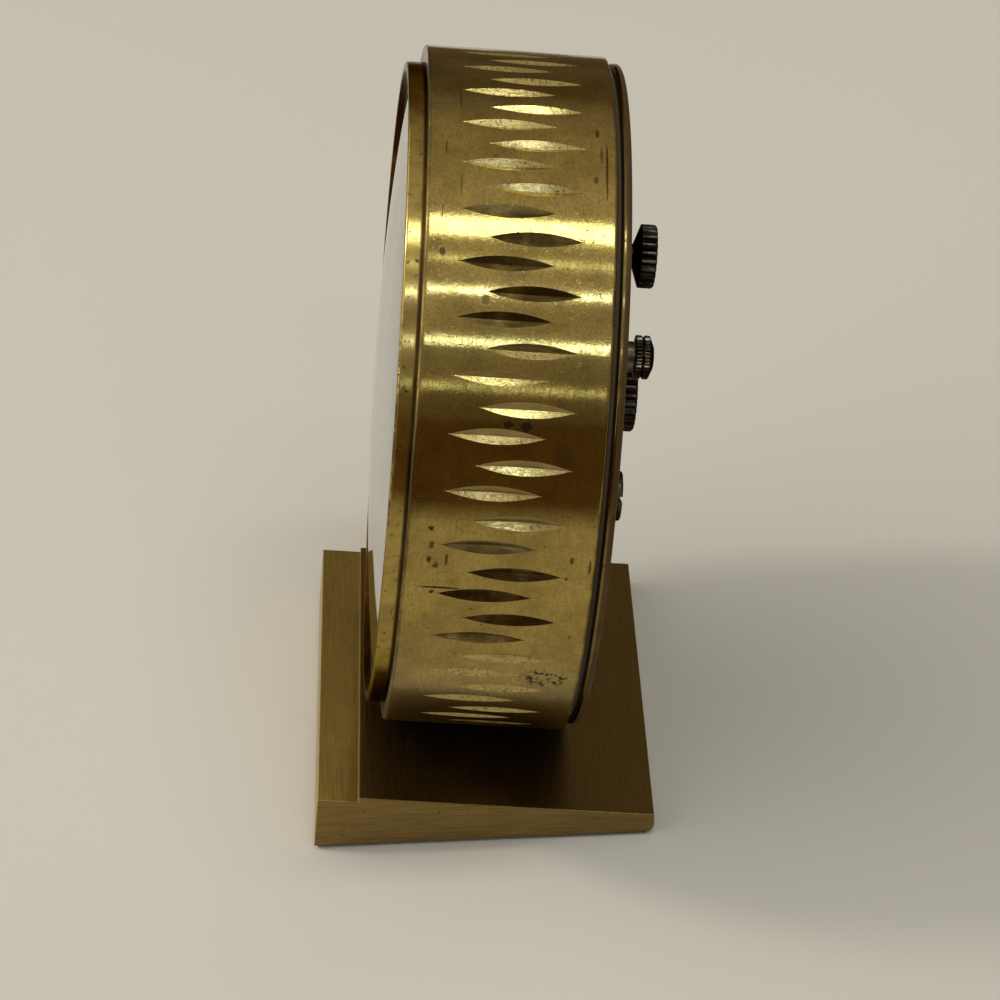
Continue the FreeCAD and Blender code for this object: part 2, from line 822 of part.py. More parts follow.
def rear_rim():
    """The rounded ring behind the drum, with a neck that leaves a dark groove beside the drum."""
    body = new_body("rear_rim")
    revolve(body, [
        ("drum_bore_radius", "0 - drum_half"),
        ("rim_groove_radius", "0 - drum_half"),
        ("rim_groove_radius", "0 - drum_half - rim_groove_width"),
        ("rim_radius", "0 - drum_half - rim_groove_width"),
        ("rim_radius", "rim_back + rim_edge_round"),
        ("rim_radius - rim_edge_round", "rim_back"),
        ("rim_opening_radius", "rim_back"),
        ("rim_opening_radius", "cover_back"),
        ("drum_bore_radius", "cover_back")])
    holes = sketch_on(body, "XY_Plane", "rim_back")
    circle(holes, "rim_screw_circle", "0", "rim_screw_radius + hole_clearance")
    heads = sketch_on(body, "XY_Plane", "rim_back")
    circle(heads, "rim_screw_circle", "0", "rim_screw_head_radius + hole_clearance")
    hole = pocket(body, holes, "rim_thickness + rim_groove_width")
    hole.Reversed = True
    head = pocket(body, heads, "rim_screw_head_height")
    head.Reversed = True
    pattern(body, [hole, head], "rim_screw_count")
    return seat(body)


def rear_rim_screws():
    body = new_body("rear_rim_screws")
    heads = sketch_on(body, "XY_Plane", "rim_back")
    circle(heads, "rim_screw_circle", "0", "rim_screw_head_radius")
    head = pad(body, heads, "rim_screw_head_height")
    shafts = sketch_on(body, "XY_Plane", "rim_back + rim_screw_head_height")
    circle(shafts, "rim_screw_circle", "0", "rim_screw_radius")
    shaft = pad(body, shafts, "rim_screw_length - hole_clearance")
    slots = sketch_on(body, "XY_Plane", "rim_back")
    outline(slots, [
        ("rim_screw_circle - rim_screw_head_radius", "0 - slot_width / 2"),
        ("rim_screw_circle + rim_screw_head_radius", "0 - slot_width / 2"),
        ("rim_screw_circle + rim_screw_head_radius", "slot_width / 2"),
        ("rim_screw_circle - rim_screw_head_radius", "slot_width / 2")])
    slot = pocket(body, slots, "rim_screw_head_height / 2")
    slot.Reversed = True
    pattern(body, [head, shaft, slot], "rim_screw_count")
    return seat(body)


# The holes in the cover, each with the spindle that turns in it.
COVER_HOLES = dict(
    barrel="winding_arbor_radius", centre="centre_arbor_radius",
    corrector="corrector_stem_radius", balance="post_radius")


def back_cover():
    """The cover is trapped between the movement holder and the rear rim."""
    body = new_body("back_cover")
    disc(body, "cover_radius", "cover_back", "cover_thickness")
    drill(body, [at(name) + ("bush_radius",) for name in COVER_HOLES], "cover_front", "cover_thickness")
    return seat(body)


def cover_bushes():
    """A flanged bush in each hole of the cover. The one for the calendar stem is a long tube."""
    body = new_body("cover_bushes")
    flange_back = "cover_back - bush_flange_height"
    flanges = sketch_on(body, "XY_Plane", flange_back)
    barrels = sketch_on(body, "XY_Plane", flange_back)
    bores = sketch_on(body, "XY_Plane", "cover_front")
    for name in COVER_HOLES:
        x, y = at(name)
        circle(flanges, x, y, "bush_flange_radius")
        circle(barrels, x, y, "bush_radius")
        circle(bores, x, y, COVER_HOLES[name] + " + running_fit")
    pad(body, flanges, "bush_flange_height")
    pad(body, barrels, "cover_thickness + bush_flange_height")
    tube_back = "calendar_knob_back + calendar_knob_rim + knob_gap"
    tube = sketch_on(body, "XY_Plane", tube_back)
    circle(tube, *at("corrector"), "calendar_tube_radius")
    pad(body, tube, "%s - (%s)" % (flange_back, tube_back))
    pocket(body, bores, "cover_front - calendar_knob_back")
    return seat(body)


# ---------------------------------------------------------------- movement frame
def movement_ring():
    """Holds the plates in the drum: its lip carries the front plate and its foot meets the cover."""
    body = new_body("movement_ring")
    revolve(body, [
        ("drum_bore_radius - push_fit - holder_wall", "cover_front"),
        ("drum_bore_radius - push_fit", "cover_front"),
        ("drum_bore_radius - push_fit", "dial_front - dial_thickness"),
        ("plate_radius + push_fit", "dial_front - dial_thickness"),
        ("plate_radius + push_fit", "front_plate_back"),
        ("holder_lip_radius", "front_plate_back"),
        ("holder_lip_radius", "front_plate_back - holder_lip_height"),
        ("drum_bore_radius - push_fit - holder_wall", "front_plate_back - holder_lip_height")])
    return seat(body)


def pillar_spots(radius):
    """Four places round the plates, at the diagonals."""
    half = "pillar_circle * sqrt(0.5)"
    minus = "0 - " + half
    return [(half, half, radius), (half, minus, radius), (minus, half, radius), (minus, minus, radius)]


def pivot_holes(names):
    return [at(name) + ("pivot_radius + running_fit",) for name in names]


def front_plate():
    body = new_body("front_plate")
    disc(body, "plate_radius", "front_plate_back", "plate_thickness")
    holes = pivot_holes(["intermediate", "third", "fourth", "escape", "fork", "balance"])
    holes += [
        at("centre") + ("centre_arbor_radius + running_fit",),
        at("barrel") + ("winding_arbor_radius + running_fit",),
        at("corrector") + ("corrector_stem_radius + running_fit",),
        at("minute_wheel") + ("post_radius",),
        at("driver") + ("post_radius",)]
    holes += pillar_spots("pillar_screw_radius + hole_clearance")
    drill(body, holes, "front_plate_front", "plate_thickness")
    heads = sketch_on(body, "XY_Plane", "front_plate_front")
    for x, y, radius in pillar_spots("pillar_screw_head + hole_clearance"):
        circle(heads, x, y, radius)
    pocket(body, heads, "pillar_screw_head_height")
    return seat(body)


def rear_plate():
    body = new_body("rear_plate")
    disc(body, "rear_plate_radius", "rear_plate_back", "plate_thickness")
    holes = pivot_holes(["intermediate", "third", "fourth", "escape", "fork"])
    holes += [
        at("centre") + ("centre_arbor_radius + running_fit",),
        at("barrel") + ("winding_arbor_radius + running_fit",),
        at("corrector") + ("corrector_stem_radius + running_fit",),
        at("balance") + ("spring_well_radius",),
        at("click") + ("click_post_radius",)]
    holes += cock_screw_spots("rim_screw_radius")
    drill(body, holes, "rear_plate_front", "plate_thickness")
    return seat(body)


def plate_pillars():
    """Four pillars, each with a threaded hole for the screw through the front plate."""
    body = new_body("plate_pillars")
    posts = sketch_on(body, "XY_Plane", "rear_plate_front")
    for x, y, radius in pillar_spots("pillar_radius"):
        circle(posts, x, y, radius)
    pad(body, posts, "plate_gap")
    drill(body, pillar_spots("pillar_screw_radius"), "front_plate_back", "pillar_screw_length")
    return seat(body)


def plate_screws():
    body = new_body("plate_screws")
    seat_level = "front_plate_front - pillar_screw_head_height"
    shafts = sketch_on(body, "XY_Plane", "front_plate_back - pillar_screw_length + hole_clearance")
    heads = sketch_on(body, "XY_Plane", seat_level)
    slots = sketch_on(body, "XY_Plane", "front_plate_front")
    for x, y, radius in pillar_spots("pillar_screw_radius"):
        circle(shafts, x, y, radius)
        circle(heads, x, y, "pillar_screw_head")
        outline(slots, [
            ("%s - pillar_screw_head" % x, "%s - slot_width / 2" % y),
            ("%s + pillar_screw_head" % x, "%s - slot_width / 2" % y),
            ("%s + pillar_screw_head" % x, "%s + slot_width / 2" % y),
            ("%s - pillar_screw_head" % x, "%s + slot_width / 2" % y)])
    pad(body, shafts, "pillar_screw_length + plate_thickness - pillar_screw_head_height - hole_clearance")
    pad(body, heads, "pillar_screw_head_height")
    pocket(body, slots, "slot_depth")
    return seat(body)


def motion_work_posts():
    """Fixed posts that carry the minute wheel and the date driver."""
    body = new_body("motion_work_posts")
    for name, top in (("minute_wheel", "day_wheel_level"),
                      ("driver", "date_ring_back + date_ring_thickness")):
        post = sketch_on(body, "XY_Plane", "front_plate_back")
        circle(post, *at(name), "post_radius")
        pad(body, post, top + " - front_plate_back")
    return seat(body)


# ---------------------------------------------------------------- power
def mainspring_barrel():
    body = new_body("mainspring_barrel")
    disc(body, "barrel_radius", "barrel_back", "barrel_top - barrel_back")
    teeth_ring(body, "barrel_teeth", "barrel_module", "barrel_top - barrel_tooth_rim", "barrel_tooth_rim")
    room = sketch_on(body, "XY_Plane", "barrel_top - barrel_tooth_rim")
    circle(room, "0", "0", "barrel_radius - barrel_wall")
    pocket(body, room, "barrel_top - barrel_back - 2 * barrel_tooth_rim")
    lid_room = sketch_on(body, "XY_Plane", "barrel_top")
    circle(lid_room, "0", "0", "barrel_radius - barrel_wall / 2")
    pocket(body, lid_room, "barrel_tooth_rim")
    drill(body, [("0", "0", "winding_arbor_radius + running_fit")],
          "barrel_top", "barrel_top - barrel_back")
    return seat(body, barrel_at, barrel_turn)


def barrel_cover():
    body = new_body("barrel_cover")
    disc(body, "barrel_radius - barrel_wall / 2", "barrel_top - barrel_tooth_rim", "barrel_tooth_rim")
    drill(body, [("0", "0", "winding_arbor_radius + running_fit")], "barrel_top", "barrel_tooth_rim")
    return seat(body, barrel_at)


def spiral_ribbon(label, inner, outer, turns, thickness, back, height):
    """A flat spiral of one ribbon: two spirals a ribbon apart, closed at the ends and raised."""
    steps = int(turns * SPIRAL_STEPS)
    sides = []
    for shift in (-thickness / 2, thickness / 2):
        side = []
        for step in range(steps + 1):
            part = step / steps
            radius = inner + (outer - inner) * part + shift
            side.append(Vector(*polar(radius, FULL_TURN * turns * part), back))
        sides.append(side)
    edges = []
    for side in sides:
        curve = Part.BSplineCurve()
        curve.interpolate(side)
        edges.append(curve.toShape())
    edges.append(Part.makeLine(sides[0][0], sides[1][0]))
    edges.append(Part.makeLine(sides[0][-1], sides[1][-1]))
    face = Part.Face(Part.Wire(Part.__sortEdges__(edges)))
    ribbon = doc.addObject("Part::Feature", label)
    ribbon.Label = label
    ribbon.Shape = face.extrude(Vector(0, 0, height))
    return ribbon


def mainspring():
    thickness = read("spring_thickness")
    back = read("barrel_back") + read("barrel_tooth_rim") + read("end_shake")
    top = read("barrel_top") - read("barrel_tooth_rim") - read("end_shake")
    ribbon = spiral_ribbon(
        "mainspring", read("barrel_arbor_radius") + thickness + read("end_shake"),
        read("barrel_radius") - read("barrel_wall") - thickness, read("spring_turns"),
        thickness, back, top - back)
    return seat(ribbon, barrel_at)


def barrel_arbor():
    """The winding arbor: it runs through both plates and out through the cover to its knob."""
    body = new_body("barrel_arbor")
    revolve(body, [
        ("0", "winding_knob_back + winding_knob_rim / 2"),
        ("winding_arbor_radius", "winding_knob_back + winding_knob_rim / 2"),
        ("winding_arbor_radius", "barrel_back + barrel_tooth_rim + end_shake"),
        ("barrel_arbor_radius", "barrel_back + barrel_tooth_rim + end_shake"),
        ("barrel_arbor_radius", "barrel_top - barrel_tooth_rim - end_shake"),
        ("winding_arbor_radius", "barrel_top - barrel_tooth_rim - end_shake"),
        ("winding_arbor_radius", "front_plate_front - end_shake"),
        ("0", "front_plate_front - end_shake")])
    return seat(body, barrel_at)


def ratchet_wheel():
    """Saw teeth: a disc with a slanting notch for each tooth."""
    body = new_body("ratchet_wheel")
    disc(body, "ratchet_radius", "rear_plate_back - end_shake - ratchet_thickness", "ratchet_thickness")
    sketch = sketch_on(body, "XY_Plane", "rear_plate_back - end_shake")
    inner = "ratchet_radius - ratchet_tooth_depth"
    step = "(360 / ratchet_teeth)"
    outer = "(ratchet_radius + ratchet_tooth_depth)"
    outline(sketch, [
        (inner, "0"), (outer, "0"), ("%s * cos%s" % (outer, step), "%s * sin%s" % (outer, step)),
        ("ratchet_radius * cos%s" % step, "ratchet_radius * sin%s" % step)])
    notch = pocket(body, sketch, "ratchet_thickness")
    pattern(body, [notch], "ratchet_teeth")
    drill(body, [("0", "0", "winding_arbor_radius")], "rear_plate_back", "ratchet_thickness + 2 * end_shake")
    return seat(body, barrel_at, ratchet_turn)


def click():
    """The pawl that keeps the ratchet wheel from running back."""
    body = new_body("click")
    back = "rear_plate_back - end_shake - ratchet_thickness"
    disc(body, "click_width", back, "ratchet_thickness")
    arm = sketch_on(body, "XY_Plane", back)
    outline(arm, [
        ("0", "0 - click_width / 2"), ("click_length - click_post_head", "0 - click_thin"),
        ("click_length", "0"), ("click_length - click_post_head", "click_thin"), ("0", "click_width / 2")])
    pad(body, arm, "ratchet_thickness")
    drill(body, [("0", "0", "click_post_radius + running_fit")], "rear_plate_back",
          "ratchet_thickness + 2 * end_shake")
    return seat(body, click_at, direction(click_at, click_nose_at))


def click_screw():
    body = new_body("click_screw")
    revolve(body, [
        ("0", "rear_plate_back - ratchet_thickness - 2 * end_shake - screw_head_height / 2"),
        ("click_post_head", "rear_plate_back - ratchet_thickness - 2 * end_shake - screw_head_height / 2"),
        ("click_post_head", "rear_plate_back - ratchet_thickness - 2 * end_shake"),
        ("click_post_radius", "rear_plate_back - ratchet_thickness - 2 * end_shake"),
        ("click_post_radius", "rear_plate_front"),
        ("0", "rear_plate_front")])
    return seat(body, click_at)


# ---------------------------------------------------------------- going train
def pinion_back(level, thickness="wheel_thickness"):
    """The level at which a pinion starts, centred on the wheel that it meets."""
    return "%s + (%s - pinion_length) / 2" % (level, thickness)


def intermediate_wheel():
    return train_wheel(
        "intermediate_wheel", intermediate_at, intermediate_turn,
        ("intermediate_teeth", "intermediate_module", "intermediate_level"),
        ("intermediate_pinion_teeth", "barrel_module",
         pinion_back("barrel_top - barrel_tooth_rim", "barrel_tooth_rim")))


def third_wheel():
    return train_wheel(
        "third_wheel", third_at, third_turn, ("third_teeth", "third_module", "third_level"),
        ("third_pinion_teeth", "centre_module", pinion_back("centre_level")))


def fourth_wheel():
    return train_wheel(
        "fourth_wheel", fourth_at, fourth_turn, ("fourth_teeth", "fourth_module", "fourth_level"),
        ("fourth_pinion_teeth", "third_module", pinion_back("third_level")))


def centre_wheel():
    """Rides on the centre arbor, which slips in it while the hands are being set."""
    body = new_body("centre_wheel")
    back = pinion_back("intermediate_level")
    disc(body, "cannon_tube_radius", back, "front_plate_back - end_shake - (%s)" % back)
    teeth_ring(body, "centre_pinion_teeth", "intermediate_module", back, "pinion_length")
    teeth_ring(body, "centre_teeth", "centre_module", "centre_level", "wheel_thickness")
    drill(body, [("0", "0", "centre_arbor_radius + running_fit")], "front_plate_back", "plate_gap")
    return seat(body, centre_at, centre_turn)


def centre_arbor():
    body = new_body("centre_arbor")
    revolve(body, [
        ("0", "setting_knob_back + setting_knob_rim / 2"),
        ("centre_arbor_radius", "setting_knob_back + setting_knob_rim / 2"),
        ("centre_arbor_radius", "rear_plate_front + end_shake"),
        ("cannon_tube_radius", "rear_plate_front + end_shake"),
        ("cannon_tube_radius", "rear_plate_front + pinion_length"),
        ("centre_arbor_radius", "rear_plate_front + pinion_length"),
        ("centre_arbor_radius", "minute_hand_level + hand_thickness + hand_nut_height"),
        ("0", "minute_hand_level + hand_thickness + hand_nut_height")])
    return seat(body)


def escape_wheel():
    body = new_body("escape_wheel")
    arbor(body)
    teeth_ring(body, "escape_pinion_teeth", "fourth_module", pinion_back("fourth_level"), "pinion_length")
    disc(body, "escape_rim_radius", "escape_level", "wheel_thickness")
    sketch = sketch_on(body, "XY_Plane", "escape_level")
    outline(sketch, [
        ("escape_rim_radius - wheel_thickness / 2", "0 - wheel_thickness"),
        ("escape_radius", "0"),
        ("escape_radius", "wheel_thickness / 2"),
        ("escape_rim_radius - wheel_thickness / 2", "wheel_thickness")])
    tooth = pad(body, sketch, "wheel_thickness")
    pattern(body, [tooth], "escape_teeth")
    return seat(body, escape_at, escape_turn)


def pallet_fork():
    """An anchor with two pallets beside the escape wheel and a lever that ends at the roller."""
    body = new_body("pallet_fork")
    arbor(body)
    tip_radius = "(escape_radius + pallet_gap)"
    tip_x = "(%s * cos(pallet_angle) - fork_distance)" % tip_radius
    for side in ("1", "(0 - 1)"):
        arm = sketch_on(body, "XY_Plane", "escape_level")
        outline(arm, [
            ("0 - pallet_width", "0"),
            ("0 - pallet_width / 2", "%s * pallet_root" % side),
            (tip_x, "%s * %s * sin(pallet_angle)" % (side, tip_radius)),
            (tip_x + " + pallet_width", "%s * (%s * sin(pallet_angle) + pallet_width)" % (side, tip_radius)),
            ("pallet_width", "%s * pallet_root" % side),
            ("pallet_width", "0")])
        pad(body, arm, "wheel_thickness")
    lever = sketch_on(body, "XY_Plane", "escape_level")
    end = "fork_to_balance - roller_radius - end_shake"
    outline(lever, [
        ("0", "0 - fork_width / 2"), (end, "0 - fork_width / 2"),
        (end, "fork_width / 2"), ("0", "fork_width / 2")])
    pad(body, lever, "wheel_thickness")
    notch = sketch_on(body, "XY_Plane", "escape_level + wheel_thickness")
    outline(notch, [
        (end + " - fork_width", "0 - fork_notch / 2"), (end + " + end_shake", "0 - fork_notch / 2"),
        (end + " + end_shake", "fork_notch / 2"), (end + " - fork_width", "fork_notch / 2")])
    pocket(body, notch, "wheel_thickness")
    return seat(body, fork_at, direction(fork_at, balance_at))


def balance_wheel():
    """A rim on two arms, with a staff and a roller that meets the fork."""
    body = new_body("balance_wheel")
    arbor(body, "rear_plate_back", "cock_thickness")
    arms = sketch_on(body, "XY_Plane", "balance_level")
    inside = "(balance_radius - balance_rim_width / 2)"
    outline(arms, [
        ("0 - " + inside, "0 - balance_rim_width / 2"), (inside, "0 - balance_rim_width / 2"),
        (inside, "balance_rim_width / 2"), ("0 - " + inside, "balance_rim_width / 2")])
    pad(body, arms, "balance_rim_height")
    rim = sketch_on(body, "XY_Plane", "balance_level")
    circle(rim, "0", "0", "balance_radius")
    circle(rim, "0", "0", "balance_radius - balance_rim_width")
    pad(body, rim, "balance_rim_height")
    disc(body, "roller_radius", "escape_level", "wheel_thickness")
    return seat(body, balance_at, read("balance_turn"))


def hairspring():
    """Lies in the well of the rear plate, between the staff and the stud on the cock."""
    thickness = read("hairspring_thickness")
    back = rear_plate_back + read("hairspring_inset")
    ribbon = spiral_ribbon(
        "hairspring", read("arbor_radius") + 2 * thickness,
        read("balance_radius") - read("spring_coil_inset"),
        read("hairspring_turns"), thickness, back, read("hairspring_height"))
    return seat(ribbon, balance_at)


def cock_screw_spots(radius):
    x, y = at("cock_foot")
    return [(x, y + " - cock_screw_half_gap", radius), (x, y + " + cock_screw_half_gap", radius)]


def balance_cock():
    """The bridge behind the balance, with the stud that holds the outer end of the hairspring."""
    body = new_body("balance_cock")
    back = "rear_plate_back - cock_thickness"
    bar = sketch_on(body, "XY_Plane", back)
    x, y = at("balance")
    foot = "cock_foot_x - cock_width / 2"
    tip = x + " + balance_radius"
    outline(bar, [
        (foot, y + " - cock_width / 2"), (tip, y + " - cock_width / 2"),
        (tip, y + " + cock_width / 2"), (foot, y + " + cock_width / 2")])
    pad(body, bar, "cock_thickness")
    stud = sketch_on(body, "XY_Plane", "rear_plate_back")
    coil = "balance_radius - spring_coil_inset + hairspring_thickness / 2"
    circle(stud, "%s + %s + pivot_radius" % (x, coil), y, "pivot_radius")
    pad(body, stud, "spring_stud_height")
    drill(body, [at("balance") + ("pivot_radius + running_fit",)], "rear_plate_back", "cock_thickness")
    drill(body, cock_screw_spots("rim_screw_radius + hole_clearance"), "rear_plate_back", "cock_thickness")
    return seat(body)


def cock_screws():
    body = new_body("cock_screws")
    heads = sketch_on(body, "XY_Plane", "rear_plate_back - cock_thickness - rim_screw_head_height")
    shafts = sketch_on(body, "XY_Plane", "rear_plate_back - cock_thickness")
    for spot in cock_screw_spots("rim_screw_head_radius - hole_clearance"):
        circle(heads, *spot)
    for spot in cock_screw_spots("rim_screw_radius"):
        circle(shafts, *spot)
    pad(body, heads, "rim_screw_head_height")
    pad(body, shafts, "cock_thickness + plate_thickness")
    return seat(body)


def regulator_index():
    """Turned by the knob behind the cover; its pin stands beside the outer coil of the hairspring."""
    body = new_body("regulator_index")
    back = "rear_plate_back - cock_thickness - end_shake - wheel_thickness"
    revolve(body, [
        ("0", "regulator_knob_back + regulator_knob_rim"),
        ("post_radius", "regulator_knob_back + regulator_knob_rim"),
        ("post_radius", back),
        ("roller_radius", back),
        ("roller_radius", back + " + wheel_thickness"),
        ("0", back + " + wheel_thickness")])
    reach = "(balance_radius - spring_coil_inset + hairspring_thickness / 2"
    reach += " + pivot_radius + running_fit)"
    end = "0 - %s - pivot_radius" % reach
    arm = sketch_on(body, "XY_Plane", back)
    outline(arm, [
        ("0 - regulator_arm_width / 2", "0"), ("0 - regulator_arm_width / 2", end),
        ("regulator_arm_width / 2", end), ("regulator_arm_width / 2", "0")])
    pad(body, arm, "wheel_thickness")
    pin = sketch_on(body, "XY_Plane", back + " + wheel_thickness / 2")
    circle(pin, "0", "0 - " + reach, "pivot_radius")
    pad(body, pin, "wheel_thickness / 2 + end_shake + cock_thickness + spring_stud_height")
    return seat(body, balance_at)


# ---------------------------------------------------------------- motion work and hands
def cannon_pinion():
    body = new_body("cannon_pinion")
    back = "front_plate_front + end_shake"
    disc(body, "cannon_tube_radius", back, "minute_hand_level + hand_thickness - (%s)" % back)
    teeth_ring(body, "cannon_teeth", "cannon_module", back, "cannon_length")
    drill(body, [("0", "0", "centre_arbor_radius")], "minute_hand_level + hand_thickness", "plate_gap")
    return seat(body)


def minute_wheel():
    body = new_body("minute_wheel")
    hour_back = "hour_wheel_level - end_shake"
    teeth_ring(body, "minute_wheel_teeth", "cannon_module", "minute_wheel_level", "wheel_thickness")
    teeth_ring(body, "minute_pinion_teeth", "hour_module", "minute_wheel_level + wheel_thickness",
               "hour_wheel_level - minute_wheel_level + end_shake")
    drill(body, [("0", "0", "post_radius + running_fit")], "day_wheel_level", "plate_gap")
    return seat(body, minute_wheel_at, minute_turn)


def hour_wheel():
    body = new_body("hour_wheel")
    disc(body, "hour_tube_radius", "hour_wheel_level", "hour_hand_level + hand_thickness - hour_wheel_level")
    teeth_ring(body, "hour_wheel_teeth", "hour_module", "hour_wheel_level", "wheel_thickness")
    teeth_ring(body, "day_pinion_teeth", "day_module", "day_wheel_level", "wheel_thickness")
    drill(body, [("0", "0", "cannon_tube_radius + running_fit")],
          "hour_hand_level + hand_thickness", "plate_gap")
    return seat(body, centre_at, hour_turn)


def hand(label, length, width, level, tube, turn):
    """A leaf-shaped hand: a hub, a tail and a blade that is widest near the middle."""
    body = new_body(label)
    disc(body, "%s + hand_boss_wall" % tube, level, "hand_thickness")
    blade = sketch_on(body, "XY_Plane", level)
    widest = "%s * hand_widest_share" % length
    outline(blade, [
        ("0 - hand_tail", "0 - %s / 4" % width), ("0", "0 - %s / 4" % width),
        (widest, "0 - %s / 2" % width), (length, "0 - hand_tip_width"),
        (length, "hand_tip_width"), (widest, "%s / 2" % width),
        ("0", "%s / 4" % width), ("0 - hand_tail", "%s / 4" % width)])
    pad(body, blade, "hand_thickness")
    drill(body, [("0", "0", tube)], level + " + hand_thickness", "hand_thickness")
    return seat(body, centre_at, turn)


def hour_hand():
    shown = read("hour_shown") + read("minute_shown") / MINUTES_ROUND
    return hand("hour_hand", "hour_hand_length", "hour_hand_width", "hour_hand_level",
                "hour_tube_radius", RIGHT_ANGLE - shown * FULL_TURN / HOURS_ROUND)


def minute_hand():
    return hand("minute_hand", "minute_hand_length", "minute_hand_width", "minute_hand_level",
                "cannon_tube_radius", RIGHT_ANGLE - read("minute_shown") * FULL_TURN / MINUTES_ROUND)


def hand_nut():
    body = new_body("hand_nut")
    level = "minute_hand_level + hand_thickness"
    revolve(body, [
        ("centre_arbor_radius", level), ("hand_nut_radius", level),
        ("hand_nut_radius", level + " + hand_nut_height / 2"),
        ("centre_arbor_radius", level + " + hand_nut_height")])
    return seat(body)


# ---------------------------------------------------------------- calendar and dial
def calendar_plate():
    """A thick ring on the front plate, with the seat that the date ring turns in."""
    body = new_body("calendar_plate")
    floor = "date_ring_back - end_shake"
    revolve(body, [
        ("calendar_plate_inner", "front_plate_front"), ("plate_radius", "front_plate_front"),
        ("plate_radius", "dial_front - dial_thickness"),
        ("date_ring_radius + running_fit", "dial_front - dial_thickness"),
        ("date_ring_radius + running_fit", floor),
        ("calendar_plate_inner", floor)])
    return seat(body)


def date_ring():
    """A flat ring with one inner tooth for each day."""
    body = new_body("date_ring")
    disc(body, "date_ring_radius", "date_ring_back", "date_ring_thickness")
    middle = "(days * date_module / 2)"
    root = "(%s + tooth_dedendum * date_module)" % middle
    drill(body, [("0", "0", root)], "date_ring_back + date_ring_thickness", "date_ring_thickness")
    sketch = sketch_on(body, "XY_Plane", "date_ring_back")
    root_half = "(pi * date_module * tooth_root_share / 2)"
    tip_half = "(pi * date_module * tooth_tip_share / 2)"
    tip = "(%s - tooth_addendum * date_module)" % middle
    foot = root + " + tooth_foot_share * date_module"
    outline(sketch, [
        (tip, "0 - " + tip_half), (foot, "0 - " + root_half), (foot, root_half), (tip, tip_half)])
    tooth = pad(body, sketch, "date_ring_thickness")
    pattern(body, [tooth], "days")
    return seat(body)


def date_driver():
    """Turns once a day; its finger pushes the date ring on at midnight."""
    body = new_body("date_driver")
    teeth_ring(body, "driver_teeth", "day_module", "day_wheel_level", "wheel_thickness")
    level = "day_wheel_level + wheel_thickness"
    disc(body, "2 * post_radius", level, "date_ring_back + date_ring_thickness - (%s)" % level)
    finger = sketch_on(body, "XY_Plane", "date_ring_back")
    reach = "(days * date_module / 2 - tooth_addendum * date_module + driver_finger_bite"
    reach += " - day_module * (day_pinion_teeth + driver_teeth) / 2)"
    outline(finger, [
        ("0", "0 - driver_finger_width"), (reach, "0 - driver_finger_tip"),
        (reach, "driver_finger_tip"), ("0", "driver_finger_width")])
    pad(body, finger, "wheel_thickness")
    drill(body, [("0", "0", "post_radius + running_fit")], "dial_front", "plate_gap")
    return seat(body, driver_at, driver_turn)


def date_corrector():
    """The stem of the calendar knob, with a pinion that stays in mesh with the date ring."""
    body = new_body("date_corrector")
    revolve(body, [
        ("0", "calendar_knob_back + calendar_knob_rim / 2"),
        ("corrector_stem_radius", "calendar_knob_back + calendar_knob_rim / 2"),
        ("corrector_stem_radius", "date_ring_back + date_ring_thickness"),
        ("0", "date_ring_back + date_ring_thickness")])
    teeth_ring(body, "corrector_teeth", "date_module", "date_ring_back", "date_ring_thickness")
    return seat(body, corrector_at, corrector_turn)


def dial_plate():
    body = new_body("dial_plate")
    disc(body, "drum_bore_radius - push_fit", "dial_front - dial_thickness", "dial_thickness")
    drill(body, [("0", "0", "dial_hole_radius")], "dial_front", "dial_thickness")
    window = sketch_on(body, "XY_Plane", "dial_front")
    outline(window, [
        ("window_centre - window_width / 2", "0 - window_height / 2"),
        ("window_centre + window_width / 2", "0 - window_height / 2"),
        ("window_centre + window_width / 2", "window_height / 2"),
        ("window_centre - window_width / 2", "window_height / 2")])
    pocket(body, window, "dial_thickness")
    return seat(body)


def hour_markers():
    body = new_body("hour_markers")
    sketch = sketch_on(body, "XY_Plane", "dial_front")
    inner = "marker_circle - marker_length / 2"
    outer = "marker_circle + marker_length / 2"
    outline(sketch, [
        (inner, "0 - marker_width / 2"), (outer, "0 - marker_width / 2"),
        (outer, "marker_width / 2"), (inner, "marker_width / 2")])
    marker = pad(body, sketch, "marker_height")
    pattern(body, [marker], "marker_count")
    return seat(body)


# ---------------------------------------------------------------- knobs
hub_front = "cover_back - bush_flange_height - knob_gap"


def ridges(body, radius, size, count, back, length):
    """Scallops round the rim of a knob, from the back level forwards."""
    sketch = sketch_on(body, "XY_Plane", "%s + %s" % (back, length))
    circle(sketch, "%s + %s / 2" % (radius, size), "0", size)
    scallop = pocket(body, sketch, length)
    pattern(body, [scallop], count)


def winding_knob():
    """Wide at the back, with a shallow cone down to its hub."""
    body = new_body("winding_knob")
    front = "winding_knob_back + winding_knob_rim"
    revolve(body, [
        ("0", "winding_knob_back"), ("winding_knob_radius - ridge_depth", "winding_knob_back"),
        ("winding_knob_radius", "winding_knob_back + ridge_depth"),
        ("winding_knob_radius", front),
        ("winding_knob_hub", front + " + winding_knob_cone"),
        ("winding_knob_hub", hub_front), ("0", hub_front)])
    ridges(body, "winding_knob_radius", "ridge_depth", "winding_knob_ridges",
           "winding_knob_back", "winding_knob_rim")
    drill(body, [("0", "0", "winding_arbor_radius")], hub_front,
          "%s - winding_knob_back - winding_knob_rim / 2" % hub_front)
    return seat(body, barrel_at)


